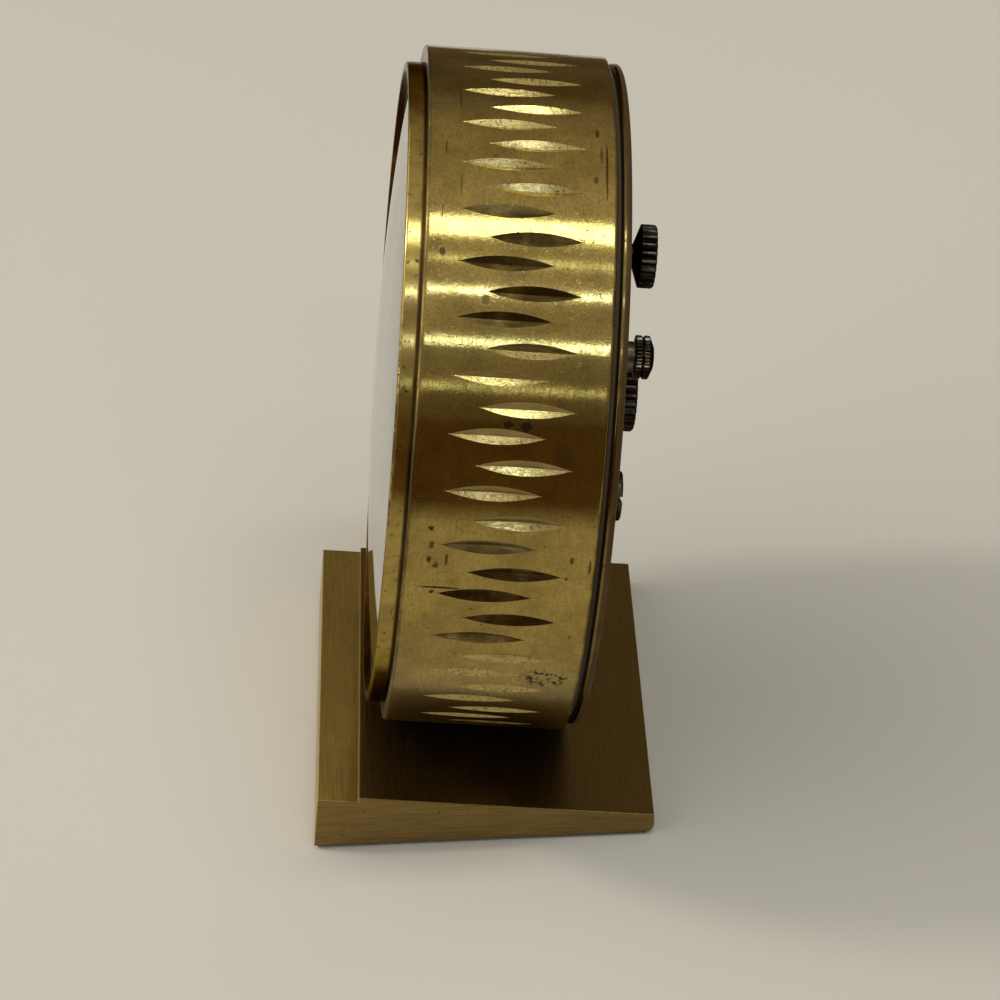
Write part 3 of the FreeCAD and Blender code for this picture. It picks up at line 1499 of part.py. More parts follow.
def hand_setting_knob():
    body = new_body("hand_setting_knob")
    front = "setting_knob_back + setting_knob_rim"
    revolve(body, [
        ("0", "setting_knob_back"), ("setting_knob_radius - fine_ridge_depth", "setting_knob_back"),
        ("setting_knob_radius", "setting_knob_back + fine_ridge_depth"),
        ("setting_knob_radius", front), ("setting_knob_hub", front),
        ("setting_knob_hub", hub_front), ("0", hub_front)])
    ridges(body, "setting_knob_radius", "ridge_depth", "setting_knob_ridges",
           "setting_knob_back", "setting_knob_rim")
    drill(body, [("0", "0", "centre_arbor_radius")], hub_front,
          "%s - setting_knob_back - setting_knob_rim / 2" % hub_front)
    return seat(body)


def calendar_knob():
    """Small and knurled, with a groove round its middle and a domed end."""
    body = new_body("calendar_knob")
    front = "calendar_knob_back + calendar_knob_rim"
    middle = "calendar_knob_back + calendar_knob_rim / 2"
    revolve(body, [
        ("0", "calendar_knob_back - calendar_knob_dome"),
        ("calendar_knob_radius / 2", "calendar_knob_back - calendar_knob_shoulder"),
        ("calendar_knob_radius - fine_ridge_depth", "calendar_knob_back"),
        ("calendar_knob_radius", "calendar_knob_back + fine_ridge_depth"),
        ("calendar_knob_radius", middle + " - fine_ridge_depth"),
        ("calendar_knob_radius - 2 * fine_ridge_depth", middle),
        ("calendar_knob_radius", middle + " + fine_ridge_depth"),
        ("calendar_knob_radius", front), ("0", front)])
    ridges(body, "calendar_knob_radius", "fine_ridge_depth", "calendar_knob_ridges",
           "calendar_knob_back", "calendar_knob_rim")
    drill(body, [("0", "0", "corrector_stem_radius")], front, "calendar_knob_rim / 2")
    return seat(body, corrector_at)


def slot_corner(end, side):
    """A corner of the screwdriver slot, which lies turned from the x axis."""
    along = "%s * regulator_knob_radius" % end
    across = "%s * regulator_slot_width / 2" % side
    return ("(%s) * cos(regulator_slot_turn) - (%s) * sin(regulator_slot_turn)" % (along, across),
            "(%s) * sin(regulator_slot_turn) + (%s) * cos(regulator_slot_turn)" % (along, across))


def regulator_knob():
    """Smooth, with a screwdriver slot across its end."""
    body = new_body("regulator_knob")
    front = "regulator_knob_back + regulator_knob_rim"
    revolve(body, [
        ("0", "regulator_knob_back"), ("regulator_knob_radius - ridge_depth", "regulator_knob_back"),
        ("regulator_knob_radius", "regulator_knob_back + ridge_depth"),
        ("regulator_knob_radius", front), ("regulator_knob_hub", front),
        ("regulator_knob_hub", hub_front), ("0", hub_front)])
    slot = sketch_on(body, "XY_Plane", "regulator_knob_back + regulator_slot_depth")
    outline(slot, [
        slot_corner(end, side) for end, side in ((-1, -1), (1, -1), (1, 1), (-1, 1))])
    pocket(body, slot, "regulator_slot_depth")
    drill(body, [("0", "0", "post_radius")], hub_front,
          "%s - regulator_knob_back - regulator_knob_rim" % hub_front)
    return seat(body, balance_at)


# ---------------------------------------------------------------- build, check and write
PARTS = [
    base_block, base_felt_pad, base_screws, drum_ring, front_bezel, crystal, crystal_gasket,
    dial_flange, rear_rim, rear_rim_screws, back_cover, cover_bushes, movement_ring, front_plate,
    rear_plate, plate_pillars, plate_screws, motion_work_posts, mainspring_barrel, barrel_cover,
    mainspring, barrel_arbor, ratchet_wheel, click, click_screw, intermediate_wheel, centre_wheel,
    centre_arbor, third_wheel, fourth_wheel, escape_wheel, pallet_fork, balance_wheel, hairspring,
    balance_cock, cock_screws, regulator_index, cannon_pinion, minute_wheel, hour_wheel, hour_hand,
    minute_hand, hand_nut, calendar_plate, date_ring, date_driver, date_corrector, dial_plate,
    hour_markers, winding_knob, hand_setting_knob, calendar_knob, regulator_knob,
]

nodes = [make() for make in PARTS]
doc.recompute()

faults = [o.Name for o in doc.Objects if {"Invalid", "Error"} & set(o.State)]
faults += [node.Label for node in nodes if node.Shape.isNull() or not node.Shape.isValid()]
if faults:
    raise RuntimeError("these failed: " + ", ".join(faults))

os.makedirs("parts", exist_ok=True)
for node in nodes:
    node.Shape.exportStep("parts/%s.step" % node.Label)
    print("%-20s %2d solids %10.3f mm3" % (node.Label, len(node.Shape.Solids), node.Shape.Volume))
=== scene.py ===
import json
import math

import bmesh
import bpy
from mathutils import Euler, Matrix, Vector

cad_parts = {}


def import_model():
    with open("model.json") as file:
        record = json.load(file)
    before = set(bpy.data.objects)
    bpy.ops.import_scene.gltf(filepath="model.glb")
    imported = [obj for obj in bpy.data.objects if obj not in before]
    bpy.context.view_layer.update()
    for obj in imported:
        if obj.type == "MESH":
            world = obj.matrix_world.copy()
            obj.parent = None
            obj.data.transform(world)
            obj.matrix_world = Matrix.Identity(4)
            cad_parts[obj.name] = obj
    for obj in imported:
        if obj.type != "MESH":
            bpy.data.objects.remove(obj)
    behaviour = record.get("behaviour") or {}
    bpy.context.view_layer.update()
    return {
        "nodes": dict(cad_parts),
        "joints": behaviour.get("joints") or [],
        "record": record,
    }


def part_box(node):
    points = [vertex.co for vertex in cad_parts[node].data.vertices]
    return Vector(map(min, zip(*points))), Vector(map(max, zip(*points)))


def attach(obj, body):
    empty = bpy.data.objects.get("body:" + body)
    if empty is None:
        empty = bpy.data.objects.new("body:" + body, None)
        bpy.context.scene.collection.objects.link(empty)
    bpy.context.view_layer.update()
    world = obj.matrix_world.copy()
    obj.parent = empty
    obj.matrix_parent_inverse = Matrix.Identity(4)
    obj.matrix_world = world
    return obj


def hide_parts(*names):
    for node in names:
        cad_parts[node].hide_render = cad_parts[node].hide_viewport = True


# The looks of a round brass desk clock with a date window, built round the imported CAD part.
# Shapes are worked out in millimetres and made in metres. "Clock frame": origin in the middle
# of the drum, x to the clock's right, y up along the dial, z out of the dial.

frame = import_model()

MM = 0.001
FULL = 2 * math.pi
COLUMNS = 256


# ---- places taken from the frame
joints = {joint["name"]: joint for joint in frame["joints"]}
drum_middle = Vector(joints["minute_spin"]["pos_m"])
out_of_dial = -Vector(joints["minute_spin"]["axis"]).normalized()
to_right = Vector((1, 0, 0))
up_the_dial = out_of_dial.cross(to_right)
CLOCK_TURN = Matrix((to_right, up_the_dial, out_of_dial)).transposed()


def clock_place(joint="minute_spin"):
    """The clock's own frame, with its origin on a joint's axis and level with the drum's middle."""
    spot = Vector(joints[joint]["pos_m"])
    return Matrix.Translation(spot) @ CLOCK_TURN.to_4x4()


def span(node, joint="minute_spin"):
    """A node's largest radius round a joint's axis and its lowest and highest z, in millimetres."""
    place = clock_place(joint).inverted()
    spots = [place @ vertex.co for vertex in frame["nodes"][node].data.vertices]
    radius = max(math.hypot(spot.x, spot.y) for spot in spots)
    return radius / MM, min(spot.z for spot in spots) / MM, max(spot.z for spot in spots) / MM


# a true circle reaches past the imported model's chords by as much as this
CHORD_GAP = 0.045
DRUM_RADIUS, DRUM_BACK, DRUM_FRONT = span("drum_ring")
DRUM_RADIUS -= CHORD_GAP
BEZEL_RADIUS, BEZEL_BACK, BEZEL_FRONT = span("front_bezel")
CRYSTAL_RADIUS, _, CRYSTAL_TOP = span("crystal")
RIM_RADIUS, RIM_BACK, RIM_FRONT = span("rear_rim")
COVER_BACK = span("back_cover")[1]
DIAL_FRONT = span("dial_plate")[2]
MARKER_OUTER, MARKER_BACK, MARKER_FRONT = span("hour_markers")
DATE_FRONT = span("date_ring")[2]
RIM_GROOVE = 0.85
RIM_OPENING = 39.6
base_low, base_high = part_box("base_block")
LEDGE_LENGTH = 5.4
LEDGE_END = base_low.y / MM + LEDGE_LENGTH + 0.6


# ---- node trees
class Tree:
    """A node tree, with short ways to wire nodes into it."""

    def __init__(self, tree):
        self.tree = tree

    def node(self, kind, *values, **settings):
        """A new node with its settings, and its first inputs in turn."""
        made = self.tree.nodes.new("ShaderNode" + kind)
        for name, value in settings.items():
            setattr(made, name, value)
        for value, socket in zip(values, made.inputs):
            self.link(value, socket)
        return made

    def link(self, value, socket):
        """Wires an output into a socket, or sets the socket to a plain value."""
        if isinstance(value, bpy.types.NodeSocket):
            self.tree.links.new(value, socket)
        elif socket.type == "RGBA":
            socket.default_value = (*value, 1)
        else:
            socket.default_value = value

    def math(self, operation, *values):
        """One value from one value, or from several by an operation on two at a time."""
        result = values[0]
        for value in values[1:] or (0.0,):
            result = self.node("Math", result, value, operation=operation).outputs[0]
        return result

    def times(self, *values):
        return self.math("MULTIPLY", *values)

    def plus(self, *values):
        return self.math("ADD", *values)

    def minus(self, *values):
        return self.math("SUBTRACT", *values)

    def most(self, *values):
        return self.math("MAXIMUM", *values)

    def axes(self, vector):
        return self.node("SeparateXYZ", vector).outputs

    def stretch(self, vector, scale):
        return self.node("VectorMath", vector, scale, operation="MULTIPLY").outputs[0]

    def noise(self, vector, scale, detail, roughness, distortion=0.0):
        """Soft noise from 0 to 1; a scale for each axis gives it a grain."""
        if isinstance(scale, tuple):
            vector, scale = self.stretch(vector, scale), 1.0
        made = self.node("TexNoise", vector)
        settings = dict(Scale=scale, Detail=detail, Roughness=roughness, Distortion=distortion)
        for name, value in settings.items():
            made.inputs[name].default_value = value
        return made.outputs["Fac"]

    def band(self, value, low, high, start=0.0, end=1.0, kind="SMOOTHSTEP"):
        """Goes from start to end while the value goes from low to high."""
        return self.node("MapRange", value, low, high, start, end, interpolation_type=kind).outputs[0]

    def mix(self, share, first, second):
        made = self.node("Mix", share, data_type="RGBA")
        self.link(first, made.inputs[6])
        self.link(second, made.inputs[7])
        return made.outputs[2]

    def shades(self, tone, *steps):
        """Goes from a tone towards each step's colour as the step's band says."""
        for colour, *band in steps:
            tone = self.mix(self.band(*band), tone, colour)
        return tone

    def either(self, share, first, second, output):
        """Sends a mix of two shaders to the tree's output."""
        self.link(self.node("MixShader", share, first, second).outputs[0], output.inputs[0])


class Look(Tree):
    """A material with a Principled shader."""

    def __init__(self, name, colour, roughness, metallic=0.0, **sockets):
        self.material = bpy.data.materials.new(name)
        self.material.use_nodes = True
        super().__init__(self.material.node_tree)
        self.shader = self.tree.nodes["Principled BSDF"]
        self.output = self.tree.nodes["Material Output"]
        sockets.update(Base_Color=(*colour, 1), Roughness=roughness, Metallic=metallic)
        for socket, value in sockets.items():
            self.shader.inputs[socket.replace("_", " ")].default_value = value

    def spot(self):
        """Where a point is in the object's own frame, in millimetres."""
        scale = self.node("VectorMath", self.node("TexCoord").outputs["Object"], operation="SCALE")
        scale.inputs["Scale"].default_value = 1 / MM
        return scale.outputs[0]

    def clock_spot(self, node):
        """Where a point of a CAD node is in the clock frame, in millimetres."""
        to_node = frame["nodes"][node].matrix_world.inverted()
        middle = to_node @ drum_middle / MM
        from_middle = self.node("VectorMath", self.spot(), middle, operation="SUBTRACT").outputs[0]
        along = []
        for axis in (to_right, up_the_dial, out_of_dial):
            turned = to_node.to_3x3() @ axis
            dot = self.node("VectorMath", from_middle, turned, operation="DOT_PRODUCT")
            along.append(dot.outputs["Value"])
        return self.node("CombineXYZ", *along).outputs[0]

    def normal(self):
        return self.axes(self.node("TexCoord").outputs["Normal"])

    def pointiness(self):
        return self.node("NewGeometry").outputs["Pointiness"]

    def colour(self, value):
        self.link(value, self.shader.inputs["Base Color"])

    def roughness(self, value):
        self.link(value, self.shader.inputs["Roughness"])

    def bump(self, height, distance):
        """Raises the surface by a height of 0 to 1 times a distance in millimetres."""
        made = self.node("Bump")
        made.inputs["Strength"].default_value = 1.0
        made.inputs["Distance"].default_value = distance * MM
        self.link(height, made.inputs["Height"])
        self.link(made.outputs["Normal"], self.shader.inputs["Normal"])

    def brushed_round(self, amount, axis="Z"):
        """Lets highlights stretch across a grain that runs round an axis."""
        tangent = self.node("Tangent", direction_type="RADIAL", axis=axis)
        self.link(tangent.outputs[0], self.shader.inputs["Tangent"])
        self.shader.inputs["Anisotropic"].default_value = amount
        self.shader.inputs["Anisotropic Rotation"].default_value = 0.25


# ---- materials
BRASS = (0.445, 0.325, 0.092)
BRASS_DULL = (0.30, 0.21, 0.060)
BRASS_DARK = (0.060, 0.034, 0.012)
BRASS_CUT = (0.52, 0.40, 0.15)
BRASS_LEDGE = (0.52, 0.37, 0.10)
# browns for painted shade on the base's slope and end faces
BASE_SHADE_BROWN = (0.17, 0.105, 0.028)
SIDE_SHADE_BROWN = (0.22, 0.145, 0.052)
KNOB_BROWN = (0.05, 0.035, 0.02)
KNOB_DARK = (0.012, 0.009, 0.006)
KNOB_LIGHT = (0.034, 0.025, 0.016)
# lighter ridges of the knobs: wear with a painted highlight
KNOB_WORN_HIGHLIGHT = (0.36, 0.30, 0.22)
GRAZING = (0.30, 0.24, 0.17, 1)
# near black for the painted shade in the groove behind the drum
GROOVE_SHADE = (0.030, 0.018, 0.010)
RIM_BROWN = (0.115, 0.070, 0.034)
GROOVE_FLOOR = (0.120, 0.085, 0.045)
GLASS_CLEAR = (0.97, 0.985, 0.98)
FELT_GREEN = (0.035, 0.050, 0.035)
FELT_DARK = (0.030, 0.042, 0.028)
FELT_LIGHT = (0.050, 0.062, 0.042)
FELT_FIBRE = (0.085, 0.09, 0.07)
RUBBER_GREY = (0.03, 0.03, 0.03)
RUBBER_DARK = (0.02, 0.02, 0.02)
RUBBER_LIGHT = (0.05, 0.05, 0.048)

# marks on the drum's visible side, as z and turn from the clock's right towards its top, with their
# reach along the drum, reach round it (millimetres) and strength
DRUM_MARKS = (
    (7.3, -6.1, 2.9, 0.17, 1.0),
    (0.4, 22.4, 0.75, 0.60, 1.0),
    (-1.9, 22.2, 0.90, 0.80, 1.0),
    (-6.5, 18.0, 1.5, 1.6, 0.35),
    (4.1, 41.8, 0.65, 0.70, 0.65),
    (8.9, 4.8, 0.40, 0.35, 0.9),
    (8.7, 1.8, 0.35, 0.60, 0.8),
    (8.9, -0.8, 0.30, 0.60, 0.9),
    (8.0, -1.9, 0.40, 0.40, 0.8),
    (6.7, -0.7, 0.22, 0.90, 0.8),
    (8.2, -7.0, 0.35, 0.30, 0.9),
    (-8.9, 0.4, 0.28, 0.60, 0.8),
    (-11.2, -0.7, 0.22, 1.10, 0.8),
    (-8.4, -3.0, 0.25, 0.25, 0.8),
    (9.7, 49.6, 0.45, 0.70, 0.9),
    (9.9, 57.0, 0.14, 1.30, 0.8),
    (7.6, 62.0, 0.10, 2.10, 0.7),
    (9.6, 69.5, 0.12, 1.60, 0.7),
    (-9.4, 75.0, 0.30, 0.90, 0.8),
    (-9.9, 70.0, 0.16, 1.60, 0.7),
    (-9.2, 64.5, 0.35, 0.60, 0.7),
    (-10.6, 66.5, 0.16, 5.2, 0.9),
    (7.8, 82.0, 0.12, 2.60, 0.7),
)
PIT_PATCH = (-7.4, -26.4, 3.3, 2.1)


def turn_round(look, axes):
    """The turn of a point round the z axis, in degrees from +x towards +y."""
    return look.times(look.math("ARCTAN2", axes[1], axes[0]), math.degrees(1))


def radius_round(look, axes):
    """How far a point is from the z axis."""
    squares = look.plus(look.times(axes[0], axes[0]), look.times(axes[1], axes[1]))
    return look.math("SQRT", squares)


def mark(look, height, turn, wobble, z, angle, along, around):
    """1 in the middle of a small ragged mark and 0 outside it."""
    aside = look.math("DIVIDE", look.minus(height, z), along)
    round_it = look.times(look.minus(turn, angle), math.radians(DRUM_RADIUS) / around)
    distance = look.plus(look.times(aside, aside), look.times(round_it, round_it), wobble)
    return look.band(distance, 1.1, 0.5)


def drum_brass():
    """Satin brass brushed round the drum, mottled and pitted with age, with painted shade at its ends.
    """
    look = Look("drum_brass", BRASS, 0.3, 1.0)
    spot = look.spot()
    axes = look.axes(spot)
    turn = turn_round(look, axes)
    grain = look.noise(spot, (0.10, 0.10, 3.2), 4.0, 0.65)
    fine = look.noise(spot, (0.25, 0.25, 9.0), 2.0, 0.6)
    fleck = look.noise(spot, (0.7, 0.7, 2.6), 4.0, 0.7)
    cloud = look.noise(spot, 0.16, 5.0, 0.62)
    speckle = look.noise(spot, 1.6, 4.0, 0.62)
    dust = look.noise(spot, 3.4, 3.0, 0.6)
    tone = look.shades(BRASS, (BRASS_DULL, cloud, 0.35, 0.68),
                       (BRASS_DULL, grain, 0.35, 0.75, 0.0, 0.10),
                       (BRASS_DULL, fleck, 0.42, 0.64, 0.0, 0.5),
                       (BRASS_DARK, dust, 0.42, 0.68, 0.0, 0.28))
    wobble = look.times(look.minus(look.noise(spot, 3.6, 3.0, 0.6), 0.5), 2.4)
    dirt_and_shade = look.times(look.band(speckle, 0.62, 0.72), look.band(cloud, 0.42, 0.60))
    for *shape, strength in DRUM_MARKS:
        dirt_and_shade = look.most(dirt_and_shade, look.times(mark(look, axes[2], turn, wobble, *shape), strength))
    patch = look.times(mark(look, axes[2], turn, wobble, *PIT_PATCH),
                       look.band(look.noise(spot, 1.5, 3.0, 0.7), 0.50, 0.56))
    # both ends of the drum are darker: painted shade at its joints with the bezel and the rim, which
    # also dims the highlight on its rounded edges
    painted_end_shade = look.most(look.band(axes[2], DRUM_FRONT - 0.45, DRUM_FRONT - 0.15),
                     look.band(axes[2], DRUM_BACK + 0.45, DRUM_BACK + 0.15))
    dirt_and_shade = look.most(dirt_and_shade, patch, look.times(painted_end_shade, look.band(cloud, 0.3, 0.6, 0.25, 0.7)))
    look.colour(look.mix(dirt_and_shade, tone, BRASS_DARK))
    under = look.times(look.band(turn, -29.0, -37.0), look.band(turn, -75.0, -60.0))
    rough = look.plus(look.band(fleck, 0.35, 0.7, 0.10, 0.17), look.times(under, 0.30))
    look.roughness(look.plus(rough, look.times(dirt_and_shade, 0.3)))
    height = look.plus(look.times(fine, 0.12), look.times(grain, 0.15), look.times(speckle, 0.42),
                       look.times(fleck, 0.35))
    look.bump(look.minus(height, look.times(dirt_and_shade, 0.6)), 0.012)
    look.brushed_round(0.85)
    return look.material


def cut_brass():
    """The facets of the cuts, brighter than the drum round them, with dirt in their valleys and painted
    shade in two bands round the drum and on facets that face down.
    """
    look = Look("cut_brass", BRASS_CUT, 0.3, 1.0)
    spot = look.spot()
    axes = look.axes(spot)
    turn = turn_round(look, axes)
    grain = look.noise(spot, (2.5, 2.5, 0.6), 3.0, 0.6)
    speckle = look.noise(spot, 2.4, 4.0, 0.7)
    cloud = look.noise(spot, 0.30, 3.0, 0.6)
    tone = look.shades(BRASS_CUT, (BRASS_DULL, cloud, 0.35, 0.65, 0.0, 0.5))
    # cuts in two bands round the drum, and facets there that face down, are darker: painted shade,
    # broken up by the cloud
    above = look.times(look.band(turn, 33.0, 38.0), look.band(turn, 61.0, 56.0))
    below = look.times(look.band(turn, 6.0, 1.0), look.band(turn, -20.0, -16.0))
    painted_light = look.times(look.most(above, below), look.band(cloud, 0.30, 0.60, 0.55, 0.85))
    normal = look.normal()
    lean = look.minus(look.times(axes[0], normal[1]), look.times(axes[1], normal[0]))
    faces_down = look.band(lean, -0.2 * DRUM_RADIUS, -0.35 * DRUM_RADIUS)
    shaded = look.times(look.band(turn, 0.0, 6.0), look.band(turn, 42.0, 36.0), faces_down, 0.45)
    dirt_and_shade = look.most(painted_light, look.band(speckle, 0.50, 0.64, 0.0, 0.55),
                     look.band(look.pointiness(), 0.49, 0.42, 0.0, 0.75), shaded)
    look.colour(look.mix(dirt_and_shade, tone, BRASS_DARK))
    look.roughness(look.band(grain, 0.3, 0.7, 0.14, 0.26))
    look.bump(look.plus(grain, speckle), 0.016)
    return look.material


def rim_brass():
    """Turned brass, browner behind the drum, with a brown patina on the rear rim's back edge; painted
    shade in the groove behind the drum and inside the bezel by the crystal, and patina with painted
    shade at the bezel's foot by the drum.
    """
    look = Look("rim_brass", BRASS, 0.28, 1.0, Specular_Tint=GRAZING, Specular_IOR_Level=0.15)
    spot = look.spot()
    axes = look.axes(spot)
    turn = turn_round(look, axes)
    radius = radius_round(look, axes)
    rings = look.noise(spot, (0.12, 0.12, 7.0), 3.0, 0.6)
    cloud = look.noise(spot, 0.20, 5.0, 0.65)
    speckle = look.noise(spot, 1.3, 4.0, 0.65)
    # darker at the foot of the bezel by the drum: patina with painted shade in the joint; darker inside
    # the bezel's land, down to the crystal: painted shade
    seam = look.times(look.band(axes[2], DRUM_FRONT + 0.65, DRUM_FRONT + 0.25),
                      look.band(axes[2], DRUM_FRONT - 1.0, DRUM_FRONT - 0.9))
    inner = look.times(look.band(radius, BEZEL_RADIUS - 1.15, BEZEL_RADIUS - 1.35),
                       look.band(axes[2], 0.0, 1.0))
    lip = look.times(look.band(axes[2], BEZEL_FRONT - 0.45, BEZEL_FRONT - 0.15),
                     look.band(look.noise(spot, 0.7, 4.0, 0.7), 0.44, 0.52),
                     look.band(turn, 0.0, 6.0), look.band(turn, 38.0, 32.0))
    edge = look.times(look.band(axes[2], RIM_BACK + 0.85, RIM_BACK + 0.60, 0.0, 0.9),
                      look.band(radius, RIM_RADIUS - 0.9, RIM_RADIUS - 0.6))
    edge = look.most(edge, lip)
    dirt_and_shade = look.times(look.most(seam, inner, edge), look.band(cloud, 0.25, 0.50, 0.75, 0.95))
    dirt_and_shade = look.most(dirt_and_shade, look.band(speckle, 0.58, 0.70, 0.0, 0.9))
    # the groove between the drum and the rear rim is painted near black, a little lighter at its floor:
    # painted shade
    groove_end = DRUM_BACK - RIM_GROOVE
    groove = look.times(look.band(axes[2], groove_end - 0.06, groove_end + 0.02),
                        look.band(axes[2], 0.0, -1.0))
    from_floor = look.math("ABSOLUTE", look.minus(axes[2], DRUM_BACK - RIM_GROOVE / 2))
    groove_shade = look.shades(GROOVE_SHADE, (GROOVE_FLOOR, from_floor, 0.30, 0.14))
    tone = look.shades(BRASS, (BRASS_DULL, cloud, 0.38, 0.66),
                       (RIM_BROWN, axes[2], 0.0, -1.0, 0.0, 0.72))
    look.colour(look.mix(groove, look.mix(dirt_and_shade, tone, BRASS_DARK), groove_shade))
    matte = look.most(groove, look.times(edge, 0.9))
    look.link(look.minus(1.0, matte), look.shader.inputs["Metallic"])
    look.roughness(look.plus(0.17, look.times(dirt_and_shade, 0.25), look.times(groove, 0.4)))
    look.bump(look.plus(rings, look.times(speckle, 0.6)), 0.008)
    look.brushed_round(0.8)
    return look.material


def straight_brass():
    """The base's brass, with a grain along its length and darker stains; painted shade on its slope
    under the drum and on its end faces.
    """
    look = Look("base_brass", BRASS, 0.34, 1.0)
    spot = look.spot()
    grain = look.noise(spot, (0.10, 4.5, 6.0), 4.0, 0.6)
    side_grain = look.noise(spot, (6.0, 0.16, 7.0), 4.0, 0.65)
    cloud = look.noise(spot, 0.11, 4.0, 0.6)
    speckle = look.noise(spot, 1.1, 4.0, 0.7)
    normal = look.normal()
    on_side = look.band(look.math("ABSOLUTE", normal[0]), 0.6, 0.8)
    on_top = look.band(normal[2], 0.5, 0.8)
    behind_ledge = look.band(look.axes(spot)[1], LEDGE_END, LEDGE_END + 0.4, 0.0, 0.9)
    lines = look.plus(look.times(side_grain, on_side), look.times(grain, look.minus(1.0, on_side)))
    tone = look.shades(BRASS_LEDGE, (BRASS, cloud, 0.38, 0.68))
    # the top behind the ledge, under the drum, and the end faces get darker browns: painted shade, while
    # the ledge keeps the lighter brass
    tone = look.mix(look.times(on_top, behind_ledge), tone, BASE_SHADE_BROWN)
    tone = look.mix(look.times(on_side, 0.85), tone, SIDE_SHADE_BROWN)
    look.colour(look.shades(tone, (BRASS_DARK, lines, 0.40, 0.62, 0.0, 0.32),
                            (BRASS_DARK, speckle, 0.62, 0.73, 0.0, 0.75)))
    look.roughness(look.band(lines, 0.3, 0.7, 0.30, 0.42))
    look.bump(look.plus(lines, look.times(speckle, 0.3)), 0.02)
    return look.material


def knob_bronze():
    """Nearly black patina, rubbed back to brass on the ridges, which are lighter also as a painted
    highlight.
    """
    look = Look("knob_bronze", KNOB_BROWN, 0.4, 1.0, Specular_Tint=GRAZING)
    spot = look.spot()
    cloud = look.noise(spot, 0.55, 4.0, 0.6)
    speckle = look.noise(spot, 2.4, 3.0, 0.6)
    facing = look.math("ABSOLUTE", look.normal()[2])
    # rubbed ridges: wear, made lighter also as a painted highlight
    painted_light = look.times(look.band(look.pointiness(), 0.51, 0.58, 0.0, 0.85),
                      look.band(cloud, 0.40, 0.60, 0.25, 1.0), look.band(facing, 0.85, 0.65))
    look.colour(look.mix(painted_light, look.shades(KNOB_DARK, (KNOB_LIGHT, cloud, 0.35, 0.7)), KNOB_WORN_HIGHLIGHT))
    look.roughness(look.band(speckle, 0.3, 0.7, 0.26, 0.44))
    look.bump(look.plus(speckle, cloud), 0.02)
    return look.material


def turned_metal(name, light, dark, roughness, straight_grain=None):
    """A plainly finished metal with a turned or straight grain, mostly for parts out of sight."""
    look = Look(name, light, roughness, 1.0)
    spot = look.spot()
    grain = look.noise(spot, straight_grain or (0.3, 0.3, 5.0), 4.0, 0.6)
    cloud = look.noise(spot, 0.25, 4.0, 0.6)
    look.colour(look.shades(light, (dark, cloud, 0.35, 0.65), (dark, grain, 0.4, 0.7, 0.0, 0.4)))
    look.roughness(look.band(grain, 0.3, 0.7, roughness - 0.05, roughness + 0.08))
    look.bump(grain, 0.008)
    if not straight_grain:
        look.brushed_round(0.4)
    return look.material


def cover_brass():
    """The flat back: a fine turned grain in rings, under old lacquer."""
    look = Look("cover_brass", BRASS, 0.3, 1.0, Coat_Weight=0.25, Coat_Roughness=0.18)
    spot = look.clock_spot("back_cover")
    axes = look.axes(spot)
    radius = radius_round(look, axes)
    unrolled = look.node("CombineXYZ", radius, look.times(turn_round(look, axes), 0.004))
    rings = look.noise(unrolled.outputs[0], 4.0, 5.0, 0.7)
    cloud = look.noise(spot, 0.10, 5.0, 0.6)
    speckle = look.noise(spot, 1.5, 4.0, 0.65)
    tone = look.shades(BRASS, (BRASS_DULL, cloud, 0.35, 0.68),
                       (BRASS_DULL, rings, 0.45, 0.7, 0.0, 0.35))
    # the cover darkens towards the rim's opening: painted shade in the corner against the rim; the
    # speckle is stains
    dirt_and_shade = look.most(look.band(speckle, 0.68, 0.78, 0.0, 0.7),
                     look.band(radius, RIM_OPENING - 0.9, RIM_OPENING - 0.1, 0.0, 0.6))
    look.colour(look.mix(dirt_and_shade, tone, BRASS_DARK))
    look.roughness(look.band(rings, 0.3, 0.7, 0.26, 0.36))
    look.bump(look.plus(rings, look.times(speckle, 0.4)), 0.012)
    look.brushed_round(0.5, "Y")
    return look.material


def paint(name, colour, shade, roughness):
    """A thin even paint with a very fine orange peel."""
    look = Look(name, colour, roughness)
    spot = look.spot()
    peel = look.noise(spot, 6.0, 2.0, 0.5)
    look.colour(look.shades(colour, (shade, look.noise(spot, 0.08, 4.0, 0.6), 0.35, 0.70)))
    look.roughness(look.band(peel, 0.3, 0.7, roughness - 0.04, roughness + 0.06))
    look.bump(peel, 0.004)
    return look.material


def crystal_glass():
    """Clear polished glass; light passes through it to the dial."""
    look = Look("crystal_glass", GLASS_CLEAR, 0.02, 0.0, IOR=1.5, Transmission_Weight=1.0)
    smears = look.noise(look.spot(), 0.12, 4.0, 0.6)
    look.roughness(look.band(smears, 0.45, 0.75, 0.01, 0.05))
    clear = look.node("BsdfTransparent", GLASS_CLEAR)
    path = look.node("LightPath")
    through = look.most(path.outputs["Is Shadow Ray"], path.outputs["Is Diffuse Ray"])
    look.either(through, look.shader.outputs[0], clear.outputs[0], look.output)
    return look.material


def felt():
    """Short dark green wool."""
    look = Look("felt", FELT_GREEN, 0.95, 0.0, Sheen_Weight=0.5, Sheen_Roughness=0.5)
    spot = look.spot()
    fibres = look.noise(spot, 5.0, 4.0, 0.7, 1.2)
    cloud = look.noise(spot, 0.4, 3.0, 0.6)
    look.colour(look.shades(FELT_DARK, (FELT_LIGHT, cloud, 0.35, 0.65),
                            (FELT_FIBRE, fibres, 0.45, 0.7, 0.0, 0.6)))
    look.bump(fibres, 0.12)
    return look.material


def rubber():
    look = Look("gasket_rubber", RUBBER_GREY, 0.6)
    peel = look.noise(look.spot(), 3.0, 3.0, 0.6)
    look.colour(look.mix(peel, RUBBER_DARK, RUBBER_LIGHT))
    look.bump(peel, 0.01)
    return look.material


